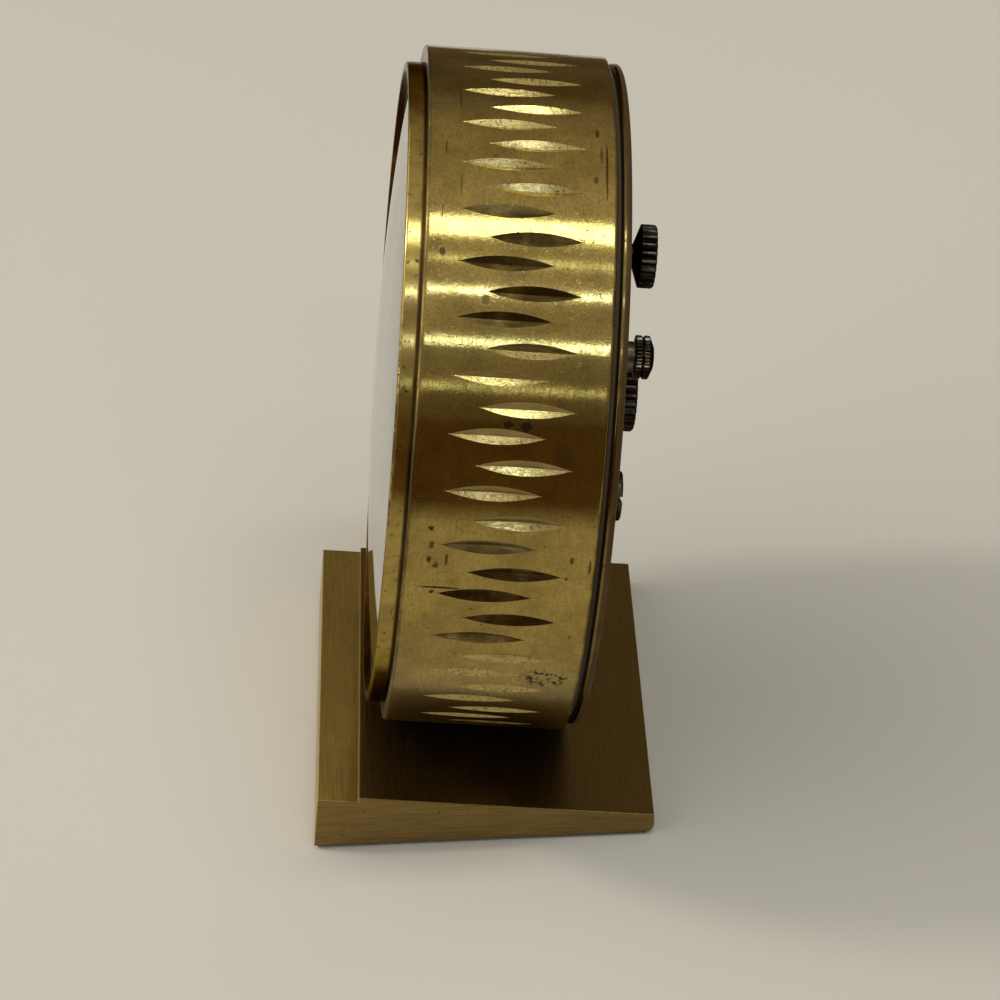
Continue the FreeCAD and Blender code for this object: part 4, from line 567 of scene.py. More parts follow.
LOOKS = dict(
    drum_brass=drum_brass(), cut_brass=cut_brass(), rim_brass=rim_brass(), base_brass=straight_brass(),
    cover_brass=cover_brass(),
    bush_brass=turned_metal("bush_brass", (0.20, 0.17, 0.11), (0.07, 0.05, 0.03), 0.28),
    knob_bronze=knob_bronze(),
    movement_brass=turned_metal("movement_brass", (0.60, 0.45, 0.18), (0.45, 0.33, 0.12), 0.28,
                                (0.2, 4.0, 4.0)),
    gilt_brass=turned_metal("gilt_brass", (0.72, 0.54, 0.22), (0.58, 0.42, 0.15), 0.18, (3.0, 3.0, 3.0)),
    steel=turned_metal("steel", (0.55, 0.55, 0.56), (0.38, 0.38, 0.40), 0.26),
    spring_steel=turned_metal("spring_steel", (0.20, 0.22, 0.30), (0.12, 0.13, 0.20), 0.25),
    crystal_glass=crystal_glass(), gasket_rubber=rubber(),
    dial_paint=paint("dial_paint", (0.78, 0.72, 0.58), (0.70, 0.63, 0.48), 0.5),
    date_paint=paint("date_paint", (0.80, 0.78, 0.72), (0.74, 0.72, 0.65), 0.45),
    print_paint=paint("print_paint", (0.022, 0.020, 0.018), (0.035, 0.030, 0.026), 0.4),
    flange_paint=paint("flange_paint", (0.42, 0.33, 0.15), (0.32, 0.25, 0.11), 0.35),
    holder_aluminium=turned_metal("holder_aluminium", (0.66, 0.67, 0.68), (0.50, 0.51, 0.52), 0.35),
    felt=felt(),
)


def dress_nodes():
    """Every CAD node gets the procedural material of its slot."""
    slots = {part["node"]: part["material_slot"] for part in frame["record"]["subparts"]}
    for name, node in frame["nodes"].items():
        node.data.materials.clear()
        node.data.materials.append(LOOKS[slots[name]])


# ---- mesh helpers
def new_object(name, data):
    made = bpy.data.objects.new(name, data)
    bpy.context.scene.collection.objects.link(made)
    return made


def add_piece(name, mesh, looks, body, nodes=(), place=None):
    """A piece on its body with its looks, in place of the CAD nodes that it replaces."""
    for look in looks:
        mesh.materials.append(LOOKS[look])
    piece = new_object(name, mesh)
    piece.matrix_world = place or clock_place()
    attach(piece, body)
    if nodes:
        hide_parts(*nodes)
    return piece


def make_piece(name, points, faces, body, slot, nodes=(), place=None, looks=(), choose=None, sharp=()):
    """A smooth mesh from points in millimetres; choose(face number) picks one of its looks."""
    mesh = bpy.data.meshes.new(name)
    mesh.from_pydata([Vector(point) * MM for point in points], [], faces)
    piece = add_piece(name, mesh, looks or (slot,), body, nodes, place)
    edges = set(sharp)
    for number, polygon in enumerate(mesh.polygons):
        polygon.use_smooth = True
        if choose:
            polygon.material_index = choose(number)
    for edge in mesh.edges if edges else ():
        edge.use_edge_sharp = tuple(sorted(edge.vertices)) in edges
    return piece


def tube_faces(rings, count, closed=False):
    """Faces round rings of points that follow one another, in a loop or with flat ends."""
    faces = []
    for ring in range(rings if closed else rings - 1):
        low, high = ring * count, (ring + 1) % rings * count
        for corner in range(count):
            after = (corner + 1) % count
            faces.append((low + corner, high + corner, high + after, low + after))
    if not closed:
        faces += [tuple(range(count)), tuple(reversed(range((rings - 1) * count, rings * count)))]
    return faces


def face_outwards(piece):
    shape = bmesh.new()
    shape.from_mesh(piece.data)
    bmesh.ops.recalc_face_normals(shape, faces=shape.faces)
    shape.to_mesh(piece.data)
    shape.free()
    return piece


SHARP_FROM = math.radians(40)


def even_shading(piece):
    """Flat faces stay flat between small rounded edges, and unrounded corners stay sharp."""
    piece.data.set_sharp_from_angle(angle=SHARP_FROM)
    weighted = piece.modifiers.new("even_shading", "WEIGHTED_NORMAL")
    weighted.keep_sharp = True
    return piece


def flat_shading(piece):
    for polygon in piece.data.polygons:
        polygon.use_smooth = False
    return piece


def rounded_edges(piece, width, segments, angle):
    """Small rounded edges where faces meet at more than an angle in degrees."""
    bevel = piece.modifiers.new("edges", "BEVEL")
    bevel.width = width * MM
    bevel.segments = segments
    bevel.limit_method = "ANGLE"
    bevel.angle_limit = math.radians(angle)
    return even_shading(piece)


def soften(corners, radius, closed=True, steps=4):
    """Rounds the corners of an outline; a corner may carry its own radius as a third number."""
    result = []
    count = len(corners)
    for index, corner in enumerate(corners):
        here = Vector(corner[:2])
        if not closed and index in (0, count - 1):
            result.append(tuple(here))
            continue
        before = Vector(corners[index - 1][:2]) - here
        after = Vector(corners[(index + 1) % count][:2]) - here
        half = before.angle(after) / 2
        wanted = corner[2] if len(corner) > 2 else radius
        if wanted <= 0 or half > math.radians(88):
            result.append(tuple(here))
            continue
        run = min(wanted / math.tan(half), 0.45 * before.length, 0.45 * after.length)
        between = (before.normalized() + after.normalized()).normalized()
        middle = here + between * (run / math.cos(half))
        start = here + before.normalized() * run - middle
        end = here + after.normalized() * run - middle
        first = math.atan2(start.y, start.x)
        sweep = (math.atan2(end.y, end.x) - first + math.pi) % FULL - math.pi
        for step in range(steps + 1):
            angle = first + sweep * step / steps
            result.append((middle.x + start.length * math.cos(angle),
                           middle.y + start.length * math.sin(angle)))
    return result


def lathe(name, outline, body, slot, nodes=(), columns=COLUMNS, closed=True, place=None, shape=None):
    """Turns an outline of (radius, z) round z; shape(radius, z, angle) may change the radius."""
    points, rings, faces = [], [], []
    for radius, height in outline:
        ring = []
        for column in range(columns if radius > 0 else 1):
            angle = FULL * column / columns
            here = shape(radius, height, angle) if shape else radius
            ring.append(len(points))
            points.append((here * math.cos(angle), here * math.sin(angle), height))
        rings.append(ring)
    for low, high in zip(rings, rings[1:] + (rings[:1] if closed else [])):
        for column in range(columns):
            after = column + 1
            corners = [low[column % len(low)], low[after % len(low)],
                       high[after % len(high)], high[column % len(high)]]
            face = list(dict.fromkeys(corners))
            if len(face) > 2:
                faces.append(face)
    return even_shading(face_outwards(make_piece(name, points, faces, body, slot, nodes, place)))


# ---- drum
CUT_COUNT = 39
CUT_DEPTH = 0.55
CUT_WHEEL = 31.4
CUT_SPREAD = math.tan(math.radians(61.0))
CUT_HAIRLINE = 0.04
FRONT_ROW = (1.65, 2.0)
REAR_ROW = (-1.9, 6.4)
CUT_COLUMNS = 3
FILL_COLUMNS = 4
DRUM_BORE = 41.0
DRUM_EDGE = 0.30
ROW_STEP = 0.3


def cut_depth(height, row_middle):
    """How deep the cut is at a height along the drum: the wheel that made it is round."""
    reach = height - row_middle
    return max(0.0, CUT_DEPTH - CUT_WHEEL + math.sqrt(CUT_WHEEL ** 2 - reach ** 2))


def drum_columns(height):
    """Each column's angle and depth at a height: cuts of both rows with plain surface between them."""
    cuts = []
    pitch = FULL / CUT_COUNT
    for row_middle, phase in (FRONT_ROW, REAR_ROW):
        depth = cut_depth(height, row_middle)
        width = max(depth * CUT_SPREAD, CUT_HAIRLINE) / DRUM_RADIUS
        cuts.append((math.radians(phase), depth, width))
    columns = []
    for number in range(CUT_COUNT):
        for index, (phase, depth, width) in enumerate(cuts):
            middle = phase + number * pitch
            if index + 1 < len(cuts):
                after = cuts[index + 1][0] + number * pitch - cuts[index + 1][2]
            else:
                after = cuts[0][0] + (number + 1) * pitch - cuts[0][2]
            columns += [(middle - width, 0.0), (middle, depth), (middle + width, 0.0)]
            start = middle + width
            for step in range(1, FILL_COLUMNS + 1):
                columns.append((start + (after - start) * step / (FILL_COLUMNS + 1), 0.0))
    return columns


def drum_ring():
    """The ring with its two rows of lens-shaped cuts."""
    back = DRUM_BACK + DRUM_EDGE
    front = DRUM_FRONT - DRUM_EDGE
    count = round((front - back) / ROW_STEP)
    rows = [(back + (front - back) * row / count, 0.0) for row in range(count + 1)]
    quarter = [math.pi / 2 * step / 4 for step in range(1, 5)]
    rows += [(front + DRUM_EDGE * math.sin(a), DRUM_EDGE * (1 - math.cos(a))) for a in quarter]
    rows += [(DRUM_FRONT, DRUM_RADIUS - DRUM_BORE), (DRUM_BACK, DRUM_RADIUS - DRUM_BORE)]
    rows += [(back - DRUM_EDGE * math.sin(a), DRUM_EDGE * (1 - math.cos(a))) for a in reversed(quarter)]
    points, depths = [], []
    for height, inset in rows:
        columns = drum_columns(min(max(height, back), front))
        for angle, depth in columns:
            radius = DRUM_RADIUS - depth - inset
            points.append((radius * math.cos(angle), radius * math.sin(angle), height))
            depths.append(depth)
    wide = len(columns)
    faces, cut_faces, sharp = [], set(), []
    for row in range(len(rows)):
        after_row = (row + 1) % len(rows)
        for column in range(wide):
            after = (column + 1) % wide
            low, low_after = row * wide + column, row * wide + after
            high, high_after = after_row * wide + column, after_row * wide + after
            place_in_cut = column % (CUT_COLUMNS + FILL_COLUMNS)
            on_facet = place_in_cut < CUT_COLUMNS - 1
            cut_low = depths[low] + depths[low_after] > 0
            cut_high = depths[high] + depths[high_after] > 0
            if on_facet and (cut_low or cut_high):
                cut_faces.add(len(faces))
            faces.append((low, low_after, high_after, high))
            middle = column - place_in_cut + 1
            near = max(depths[row * wide + middle], depths[after_row * wide + middle])
            if place_in_cut < CUT_COLUMNS and near > 0:
                sharp.append(tuple(sorted((low, high))))
            if on_facet and cut_low != cut_high:
                plain_row = after_row if cut_low else row
                sharp.append(tuple(sorted((plain_row * wide + column, plain_row * wide + after))))
    return make_piece("drum_ring_cut", points, faces, "case", "drum_brass", ("drum_ring",), None,
                      ("drum_brass", "cut_brass"), lambda face: int(face in cut_faces), sharp)


# ---- front
BEZEL_LAND = 1.2
CRYSTAL_LIP = 0.9
GASKET = 0.4
CRYSTAL_EDGE = 1.2
CRYSTAL_RISE = 2.2


def front_bezel():
    glass_front = CRYSTAL_TOP - CRYSTAL_RISE
    glass_back = glass_front - CRYSTAL_EDGE
    lip = CRYSTAL_RADIUS - CRYSTAL_LIP
    outline = soften([
        (DRUM_BORE, BEZEL_BACK, 0), (DRUM_BORE, DRUM_FRONT, 0), (BEZEL_RADIUS, DRUM_FRONT, 0),
        (BEZEL_RADIUS, BEZEL_FRONT, 0.35), (BEZEL_RADIUS - BEZEL_LAND, BEZEL_FRONT, 0.2),
        (CRYSTAL_RADIUS + GASKET, glass_front, 0.1), (CRYSTAL_RADIUS + GASKET, glass_back, 0),
        (lip, glass_back, 0), (lip, BEZEL_BACK, 0)], 0.1)
    return lathe("front_bezel_turned", outline, "case", "rim_brass", ("front_bezel",))


def crystal():
    """A shallow dome of one thickness."""
    radius = (CRYSTAL_RADIUS ** 2 + CRYSTAL_RISE ** 2) / (2 * CRYSTAL_RISE)
    steps = 24
    front = []
    for step in range(steps + 1):
        reach = CRYSTAL_RADIUS * step / steps
        front.append((reach, CRYSTAL_TOP - radius + math.sqrt(radius ** 2 - reach ** 2)))
    back = [(reach, height - CRYSTAL_EDGE) for reach, height in reversed(front)]
    return lathe("crystal_dome", front + back, "case", "crystal_glass", ("crystal",), closed=False)


# ---- dial
MARKER_COUNT = 12
MARKER_LENGTH = 3.6
MARKER_WIDTH = 0.9
MARKER_RIDGE = 0.12
RIDGE_END = 0.18
PRINT_HEIGHT = 0.02
TRACK_OUTER = 36.9
TRACK_INNER = 36.1
TRACK_INNER_LONG = 35.9
TRACK_WIDTH = 0.16
TRACK_WIDTH_LONG = 0.32
MINUTES = 60
NUMERAL_CIRCLE = 27.6
NUMERAL_HEIGHT = 4.4
WINDOW_HOUR = 3
WINDOW_CENTRE = 28.4
WINDOW_WIDTH = 5.6
WINDOW_HEIGHT = 4.4
WINDOW_FRAME = 0.35
WINDOW_FRAME_RISE = 0.18
DATE_HEIGHT = 2.7
DAYS = 31
CAPITAL_HEIGHT = 0.72


def on_circle(radius, angle):
    return radius * math.cos(angle), radius * math.sin(angle)


def hour_angle(hour):
    return math.radians(90 - 30 * hour)


def add_bar(points, faces, angle, inner, outer, width, back, front, ridge=0.0):
    """Adds a bar along a radius to a mesh, with a ridge down its middle or a flat top."""
    start = len(points)
    along = Vector((math.cos(angle), math.sin(angle), 0))
    across = Vector((-along.y, along.x, 0)) * width / 2
    spots = [(reach, side, height) for height in (back, front - ridge)
             for reach, side in ((inner, -1), (outer, -1), (outer, 1), (inner, 1))]
    top = ((4, 5, 6, 7),)
    if ridge:
        end = RIDGE_END * width
        spots += [(inner + end, 0, front), (outer - end, 0, front)]
        top = ((4, 5, 9, 8), (6, 7, 8, 9), (5, 6, 9), (7, 4, 8))
    for reach, side, height in spots:
        spot = along * reach + across * side
        points.append((spot.x, spot.y, height))
    for face in ((0, 3, 2, 1), (0, 1, 5, 4), (1, 2, 6, 5), (2, 3, 7, 6), (3, 0, 4, 7)) + top:
        faces.append([start + corner for corner in face])


def hour_markers():
    points, faces = [], []
    for hour in range(MARKER_COUNT):
        add_bar(points, faces, hour_angle(hour), MARKER_OUTER - MARKER_LENGTH, MARKER_OUTER - 0.01,
                MARKER_WIDTH, MARKER_BACK, MARKER_FRONT, MARKER_RIDGE)
    return flat_shading(make_piece("hour_markers_ridged", points, faces, "case", "gilt_brass",
                                   ("hour_markers",)))


def minute_track():
    """Printed minute marks, longer at each fifth minute."""
    points, faces = [], []
    for minute in range(MINUTES):
        inner, width = TRACK_INNER, TRACK_WIDTH
        if minute % 5 == 0:
            inner, width = TRACK_INNER_LONG, TRACK_WIDTH_LONG
        add_bar(points, faces, FULL * minute / MINUTES, inner, TRACK_OUTER, width,
                DIAL_FRONT, DIAL_FRONT + PRINT_HEIGHT)
    return flat_shading(make_piece("minute_track", points, faces, "case", "dial_paint",
                                   looks=("print_paint",)))


def numbers(name, words, body, height, level):
    """Printed numbers, one mesh: each word comes with where it goes and how far it turns."""
    shape = bmesh.new()
    for text, (x, y), turn in words:
        curve = bpy.data.curves.new(name, "FONT")
        curve.body = text
        curve.align_x = "CENTER"
        curve.align_y = "CENTER"
        curve.size = height / CAPITAL_HEIGHT * MM
        curve.extrude = PRINT_HEIGHT / 2 * MM
        curve.resolution_u = 6
        holder = new_object(name, curve)
        bpy.context.view_layer.update()
        mesh = bpy.data.meshes.new_from_object(holder)
        spot = Vector((x, y, level + PRINT_HEIGHT / 2)) * MM
        mesh.transform(Matrix.Translation(spot) @ Matrix.Rotation(turn, 4, "Z"))
        shape.from_mesh(mesh)
        bpy.data.objects.remove(holder)
        bpy.data.curves.remove(curve)
        bpy.data.meshes.remove(mesh)
    bmesh.ops.remove_doubles(shape, verts=shape.verts, dist=1e-7)
    mesh = bpy.data.meshes.new(name)
    shape.to_mesh(mesh)
    shape.free()
    return add_piece(name, mesh, ("print_paint",), body)


def dial_numbers():
    words = [(str(hour), on_circle(NUMERAL_CIRCLE, hour_angle(hour)), 0.0)
             for hour in range(1, MARKER_COUNT + 1) if hour != WINDOW_HOUR]
    return numbers("dial_numerals", words, "case", NUMERAL_HEIGHT, DIAL_FRONT)


def date_numbers():
    turns = [-FULL * day / DAYS for day in range(DAYS)]
    words = [(str(day), on_circle(WINDOW_CENTRE, turn), turn) for day, turn in enumerate(turns, 1)]
    return numbers("date_numerals", words, "date_ring_set", DATE_HEIGHT, DATE_FRONT)


def window_frame():
    """A thin gilt frame round the date window."""
    points = []
    for wider, height in ((0, DIAL_FRONT), (WINDOW_FRAME / 3, DIAL_FRONT + WINDOW_FRAME_RISE),
                          (WINDOW_FRAME, DIAL_FRONT)):
        x, y = WINDOW_WIDTH / 2 + wider, WINDOW_HEIGHT / 2 + wider
        for side_x, side_y in ((-1, -1), (1, -1), (1, 1), (-1, 1)):
            points.append((WINDOW_CENTRE + side_x * x, side_y * y, height))
    piece = make_piece("date_window_frame", points, tube_faces(3, 4, True), "case", "gilt_brass")
    return flat_shading(face_outwards(piece))


HAND_WIDEST = 0.62
HAND_TIP = 0.16
HAND_RIDGE = 0.17
HAND_TAIL = 6.0
HUB_WIDTH = 1.2


def hand(name, node, length, width, hub, turn, body):
    """A leaf-shaped hand with a ridge along it, round its hub."""
    _, back, top = span(node)
    low = top - HAND_RIDGE
    outline = [(-HAND_TAIL, width / 4), (0.0, width / 4), (length * HAND_WIDEST, width / 2),
               (length, HAND_TIP)]
    points = []
    for x, half in outline:
        for side, height in ((-1, back), (-1, low), (0, top), (1, low), (1, back)):
            points.append((x, side * half, height))
    place = clock_place() @ Matrix.Rotation(turn, 4, "Z")
    piece = make_piece(name, points, tube_faces(len(outline), 5), body, "gilt_brass", (node,), place)
    flat_shading(face_outwards(piece))
    rim = hub + HUB_WIDTH
    boss = soften([(hub, back, 0), (rim, back, 0), (rim, top, 0.1), (hub, top, 0)], 0.1)
    return lathe(name + "_boss", boss, body, "gilt_brass", columns=96)


HOUR_SHOWN = 10
MINUTE_SHOWN = 8


def hands():
    hour = HOUR_SHOWN + MINUTE_SHOWN / MINUTES
    hand("hour_hand_leaf", "hour_hand", 20.0, 2.2, 1.9, hour_angle(hour), "hour_set")
    hand("minute_hand_leaf", "minute_hand", 31.0, 1.7, 1.3,
         hour_angle(MINUTE_SHOWN * 12 / MINUTES), "minute_set")


# ---- rear
RIM_GROOVE_RADIUS = 43.3
RIM_ROUND = 0.5


def rear_rim():
    groove_end = DRUM_BACK - RIM_GROOVE
    outline = soften([
        (DRUM_BORE, RIM_FRONT, 0), (RIM_GROOVE_RADIUS, RIM_FRONT, 0),
        (RIM_GROOVE_RADIUS, groove_end, 0.1), (RIM_RADIUS, groove_end, 0.25),
        (RIM_RADIUS, RIM_BACK, RIM_ROUND), (RIM_OPENING, RIM_BACK, 0.25),
        (RIM_OPENING, COVER_BACK - 0.02, 0), (DRUM_BORE, COVER_BACK - 0.02, 0)], 0.1)
    return lathe("rear_rim_turned", outline, "case", "rim_brass", ("rear_rim",))


# ---- knobs
FLUTE_SHARPNESS = 0.8
FLUTE_COLUMNS = 12


def fluted(radius, count, depth, low, high):
    """The radius of a knob's side with even ridges between two levels."""
    def shape(here, height, angle):
        if here < radius - 1.2 * depth or not low <= height <= high:
            return here
        wave = 0.5 + 0.5 * math.cos(count * angle)
        return here - depth * (1 - wave ** FLUTE_SHARPNESS)
    return shape


HUB_FRONT = -13.2


def knob(node, finish, joint, body, corners, radius, count, depth):
    """A knob turned from its outline's corners, with even ridges round its side."""
    outline = soften(corners, 0.1, closed=False)
    low = min(height for _, height in outline)
    high = max(height for reach, height in outline if reach > radius - 0.01)
    return lathe(node + finish, outline, body, "knob_bronze", (node,), count * FLUTE_COLUMNS, False,
                 clock_place(joint), fluted(radius, count, depth, low, high))


def winding_knob():
    radius, back, _ = span("winding_knob", "winding")
    back += CHORD_GAP
    return knob("winding_knob", "_ribbed", "winding", "winding_set", [
        (0, back + 0.2), (radius - 1.1, back, 0.3), (radius - 0.2, back + 0.05, 0.15),
        (radius, back + 0.3, 0.1), (radius, back + 2.1, 0.15), (1.55, back + 3.05, 0.1),
        (1.55, HUB_FRONT), (0, HUB_FRONT)], radius, 22, 0.46)


def setting_knob():
    radius, back, _ = span("hand_setting_knob", "minute_spin")
    return knob("hand_setting_knob", "_ribbed", "minute_spin", "minute_set", [
        (0, back + 0.2), (radius - 1.2, back, 0.3), (radius - 0.3, back + 0.05, 0.2),
        (radius, back + 0.4, 0.15), (radius, back + 2.1, 0.2), (1.8, back + 2.15, 0.1),
        (1.8, HUB_FRONT), (0, HUB_FRONT)], radius, 24, 0.42)


CALENDAR_DOME = 0.65


def calendar_knob():
    radius, back, front = span("calendar_knob", "calendar_knob_spin")
    middle = back + CALENDAR_DOME + (front - back - CALENDAR_DOME) / 2
    return knob("calendar_knob", "_knurled", "calendar_knob_spin", "calendar_knob_set", [
        (0, back), (radius / 2, back + 0.12, 0.5), (radius - 0.15, back + CALENDAR_DOME, 0.2),
        (radius, back + CALENDAR_DOME + 0.15, 0.1), (radius, middle - 0.2, 0.05),
        (radius - 0.3, middle, 0.05), (radius, middle + 0.2, 0.05), (radius, front, 0.1),
        (0, front)], radius, 36, 0.16)


SLOT_TURN = math.radians(20)
SLOT_WIDTH = 0.8
SLOT_DEPTH = 0.6
KNOB_EDGE = 0.06


def regulator_knob():
    """Smooth, with a screwdriver slot across its end that lies turned from the level."""
    radius, back, _ = span("regulator_knob", "regulating")
    outline = soften([
        (0, back), (radius, back, 0.35), (radius, back + 1.8, 0.2), (1.6, back + 1.85, 0.1),
        (1.6, HUB_FRONT), (0, HUB_FRONT)], 0.2, closed=False)
    place = clock_place("regulating")
    piece = lathe("regulator_knob_slotted", outline, "regulator_set", "knob_bronze",
                  ("regulator_knob",), 96, False, place)
    cutter_mesh = bpy.data.meshes.new("slot_cutter")
    shape = bmesh.new()
    bmesh.ops.create_cube(shape, size=1.0)
    size = Vector((4 * radius, SLOT_WIDTH, 2 * SLOT_DEPTH)) * MM
    bmesh.ops.scale(shape, vec=size, verts=shape.verts)
    bmesh.ops.translate(shape, vec=Vector((0, 0, back)) * MM, verts=shape.verts)
    shape.to_mesh(cutter_mesh)
    shape.free()
    cutter = new_object("slot_cutter", cutter_mesh)
    cutter.matrix_world = place @ Matrix.Rotation(SLOT_TURN, 4, "Z")
    piece.modifiers.clear()
    cut = piece.modifiers.new("slot", "BOOLEAN")
    cut.object = cutter
    cut.operation = "DIFFERENCE"
    bpy.context.view_layer.update()
    finished = piece.evaluated_get(bpy.context.evaluated_depsgraph_get())
    result = bpy.data.meshes.new_from_object(finished)
    piece.modifiers.clear()
    piece.data = result
    bpy.data.objects.remove(cutter)
    return rounded_edges(piece, KNOB_EDGE, 2, 40)


# ---- base
SLOPE = math.asin(out_of_dial.z)
LEDGE_STEP = 0.7
FRONT_HEIGHT = 7.8
TAIL_RADIUS = 1.2
BASE_EDGE = 0.13


def slope_spot(along, height):
    """A point given along the slope from its front edge, and above it, as y and z of the row frame."""
    front = base_low.y / MM + (FRONT_HEIGHT - base_low.z / MM) * math.tan(SLOPE)
    return (front + along * math.cos(SLOPE) + height * math.sin(SLOPE),
            FRONT_HEIGHT - along * math.sin(SLOPE) + height * math.cos(SLOPE))


def extrude_section(name, section, half_width, slot, node, lengths):
    """Pulls an outline of (y, z) along x in several lengths, with closed ends."""
    points = []
    for step in range(lengths + 1):
        x = -half_width + 2 * half_width * step / lengths
        points += [(x, y, z) for y, z in section]
    faces = tube_faces(lengths + 1, len(section))
    return face_outwards(make_piece(name, points, faces, "case", slot, (node,), Matrix.Identity(4)))


def base_block():
    low, high = base_low / MM, base_high / MM
    back = high.y
    run = (back - slope_spot(0, LEDGE_STEP)[0]) / math.cos(SLOPE)
    section = [(low.y, low.z, 0), (*slope_spot(0, 0), 0), (*slope_spot(LEDGE_LENGTH, 0), 0),
               (*slope_spot(LEDGE_LENGTH, LEDGE_STEP), 0), (*slope_spot(run, LEDGE_STEP), 0),
               (back, low.z, TAIL_RADIUS)]
    piece = extrude_section("base_block_finished", soften(section, 0), high.x, "base_brass",
                            "base_block", 1)
    return rounded_edges(piece, BASE_EDGE, 3, 25)


def base_felt():
    low, high = (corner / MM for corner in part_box("base_felt_pad"))
    section = soften([(low.y, low.z), (high.y, low.z), (high.y, high.z), (low.y, high.z)], 0.12)
    return extrude_section("base_felt", section, high.x, "felt", "base_felt_pad", 90)


# ---- stage
FLOOR_COLOUR = (0.595, 0.562, 0.492)
FLOOR_HALF = 6.0
CARD_HALF = 0.45
CARD_FADE = 0.030
# the dark cards' distance to the clock's right, lowest and highest levels and colour
NEAR_CARD = (0.18, 0.006, 0.11, (0.19, 0.115, 0.042))
FAR_CARD = (-0.41, 0.0, 0.15, (0.145, 0.090, 0.034))


def stage_plane(name, corners, material):
    mesh = bpy.data.meshes.new(name)
    mesh.from_pydata(corners, [], [(0, 1, 2, 3)])
    mesh.materials.append(material)
    made = new_object(name, mesh)
    return made


def floor():
    far = FLOOR_HALF
    return stage_plane("floor", [(-far, -far, 0), (far, -far, 0), (far, far, 0), (-far, far, 0)],
                       Look("floor_paper", FLOOR_COLOUR, 0.75).material)


def dark_card(name, away, low, top, colour):
    """A low dark card beside the clock that only reflections show, as the edge of a table does.

    It fades in above its lower edge."""
    look = Look(name, colour, 0.9)
    shown = look.band(look.axes(look.spot())[2], low / MM, (low + CARD_FADE) / MM)
    clear = look.node("BsdfTransparent")
    look.either(shown, clear.outputs[0], look.shader.outputs[0], look.output)
    card = stage_plane(name, [(away, -CARD_HALF, low), (away, CARD_HALF, low),
                              (away, CARD_HALF, top), (away, -CARD_HALF, top)], look.material)
    card.visible_camera = False
    card.visible_diffuse = False
    card.visible_shadow = False
    card.visible_transmission = False
    return card


# the room by the angle up from the clock's right, over the top, to its left: brown and dim near the
# horizon and pale overhead
WORLD_STOPS = (
    (-90.0, (0.50, 0.47, 0.42)), (8.0, (0.11, 0.08, 0.045)), (21.0, (0.19, 0.15, 0.10)),
    (30.0, (0.30, 0.26, 0.21)), (36.0, (0.33, 0.31, 0.27)), (46.0, (0.50, 0.47, 0.43)),
    (60.0, (0.64, 0.61, 0.58)), (98.0, (0.64, 0.60, 0.54)), (107.0, (0.52, 0.48, 0.40)),
    (130.0, (0.38, 0.345, 0.27)), (138.0, (0.30, 0.25, 0.20)), (146.0, (0.15, 0.115, 0.06)),
    (180.0, (0.12, 0.085, 0.045)),
)
FRONT_LIGHT = (1.50, 1.46, 1.38)
REAR_LIGHT = (0.42, 0.39, 0.34)
SIDE_FROM = 0.40
SIDE_FULL = 0.62
FAR_BACKGROUND = (0.58, 0.55, 0.49)


def world():
    """A soft room: WORLD_STOPS across the clock, bright in front of it and dim behind it."""
    made = bpy.data.worlds.new("soft_room")
    bpy.context.scene.world = made
    made.use_nodes = True
    tree = Tree(made.node_tree)
    axes = tree.axes(tree.node("TexCoord").outputs["Generated"])
    angle = tree.math("ARCTAN2", axes[2], axes[0])
    ramp = tree.node("ValToRGB", tree.band(angle, -math.pi, math.pi, kind="LINEAR"))
    steps = ramp.color_ramp.elements
    while len(steps) > 1:
        steps.remove(steps[-1])
    for index, (degrees, colour) in enumerate(WORLD_STOPS):
        spot = (degrees + 180) / 360
        step = steps[0] if index == 0 else steps.new(spot)
        step.position = spot
        step.color = (*colour, 1)
    room = ramp.outputs[0]
    for side, light in ((-1, FRONT_LIGHT), (1, REAR_LIGHT)):
        aside = tree.band(axes[1], side * SIDE_FROM, side * SIDE_FULL, kind="LINEAR")
        room = tree.mix(aside, room, light)
    lighting = made.node_tree.nodes["Background"]
    tree.link(room, lighting.inputs["Color"])
    seen = tree.node("Background", FAR_BACKGROUND)
    tree.either(tree.node("LightPath").outputs["Is Camera Ray"], lighting.outputs[0], seen.outputs[0],
                made.node_tree.nodes["World Output"])


LAMP_DISTANCE = 1.15
LAMP_TINT = (0.66, 0.80, 0.82)
STRIP_TINT = (0.66, 0.84, 1.15)


def area_lamp(name, shape, size, power, colour, spot, turn):
    data = bpy.data.lights.new(name, "AREA")
    data.shape = shape
    data.size = size
    data.energy = power
    data.color = colour
    lamp = new_object(name, data)
    lamp.location = spot
    lamp.rotation_euler = turn
    return data


def strip_lamp(name, elevation, width, length, along, level, tint=LAMP_TINT):
    """A soft strip over the clock, at an angle up from the clock's right, that runs front to back.

    Its width is in degrees, its length in metres and its level is how bright its face looks."""
    size = LAMP_DISTANCE * math.radians(width)
    angle = math.radians(elevation)
    spot = Vector((LAMP_DISTANCE * math.cos(angle), along, LAMP_DISTANCE * math.sin(angle)))
    lamp = area_lamp(name, "RECTANGLE", size, level * math.pi * size * length, tint,
                     drum_middle + spot, Euler((0, math.pi / 2 - angle, 0)))
    lamp.size_y = length


SHADOW_LAMP = Vector((-0.16, -0.80, 0.76))
SHADOW_LAMP_SIZE = 0.20
SHADOW_LAMP_POWER = 3.0
SHADOW_LAMP_TINT = (1.0, 0.97, 0.92)


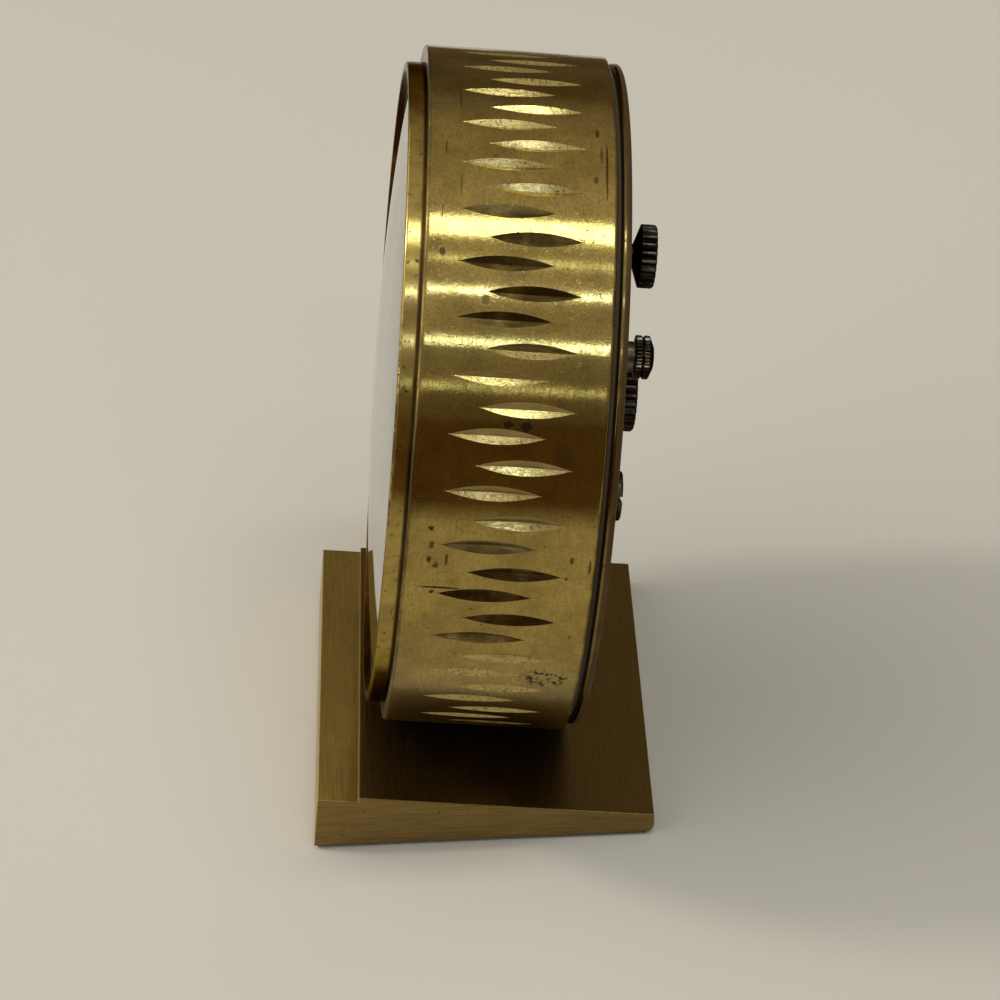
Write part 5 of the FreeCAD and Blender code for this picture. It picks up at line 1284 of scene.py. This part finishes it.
def shadow_lamp():
    """A soft lamp in front of the dial that casts the clock's shadow behind it."""
    area_lamp("shadow_lamp", "DISK", SHADOW_LAMP_SIZE, SHADOW_LAMP_POWER, SHADOW_LAMP_TINT, SHADOW_LAMP,
              (drum_middle - SHADOW_LAMP).to_track_quat("-Z", "Y").to_euler())


def lamps():
    strip_lamp("key", 81.3, 7.0, 0.46, 0.33, 11.0)
    strip_lamp("edge_strip", 69.5, 2.4, 0.60, 0.33, 2.1)
    strip_lamp("second", 58.9, 1.3, 0.30, 0.28, 25.0, STRIP_TINT)
    strip_lamp("third", 42.0, 1.2, 0.30, 0.27, 18.0, STRIP_TINT)
    strip_lamp("low_strip", 27.5, 1.6, 0.40, 0.10, 2.4)
    shadow_lamp()


# the camera that took the photograph, found from the clock's edges: where it stood and how it was
# turned
CAMERA_SPOT = Vector((489.94, 1.51, 313.56)) * MM
CAMERA_DOWN = math.radians(29.756)
CAMERA_YAW = math.radians(-0.304)
CAMERA_ROLL = math.radians(-2.339)
CAMERA_LENS = 149.78
CAMERA_SENSOR = 36.0


def camera():
    data = bpy.data.cameras.new("camera")
    data.lens = CAMERA_LENS
    data.sensor_width = CAMERA_SENSOR
    data.clip_start = 0.01
    data.clip_end = 50
    made = new_object("camera", data)
    ahead = Vector((-math.cos(CAMERA_DOWN) * math.cos(CAMERA_YAW),
                    -math.cos(CAMERA_DOWN) * math.sin(CAMERA_YAW), -math.sin(CAMERA_DOWN)))
    level = ahead.cross(Vector((0, 0, 1))).normalized()
    above = level.cross(ahead)
    right = level * math.cos(CAMERA_ROLL) + above * math.sin(CAMERA_ROLL)
    up = above * math.cos(CAMERA_ROLL) - level * math.sin(CAMERA_ROLL)
    turn = Matrix((right, up, -ahead)).transposed().to_4x4()
    made.matrix_world = Matrix.Translation(CAMERA_SPOT) @ turn
    bpy.context.scene.camera = made


# ---- build
dress_nodes()
drum_ring()
front_bezel()
crystal()
rear_rim()
hour_markers()
minute_track()
dial_numbers()
date_numbers()
window_frame()
hands()
winding_knob()
setting_knob()
calendar_knob()
regulator_knob()
base_block()
base_felt()
floor()
dark_card("near_card", *NEAR_CARD)
dark_card("far_card", *FAR_CARD)
world()
lamps()
camera()
bpy.context.scene.view_settings.view_transform = "Standard"
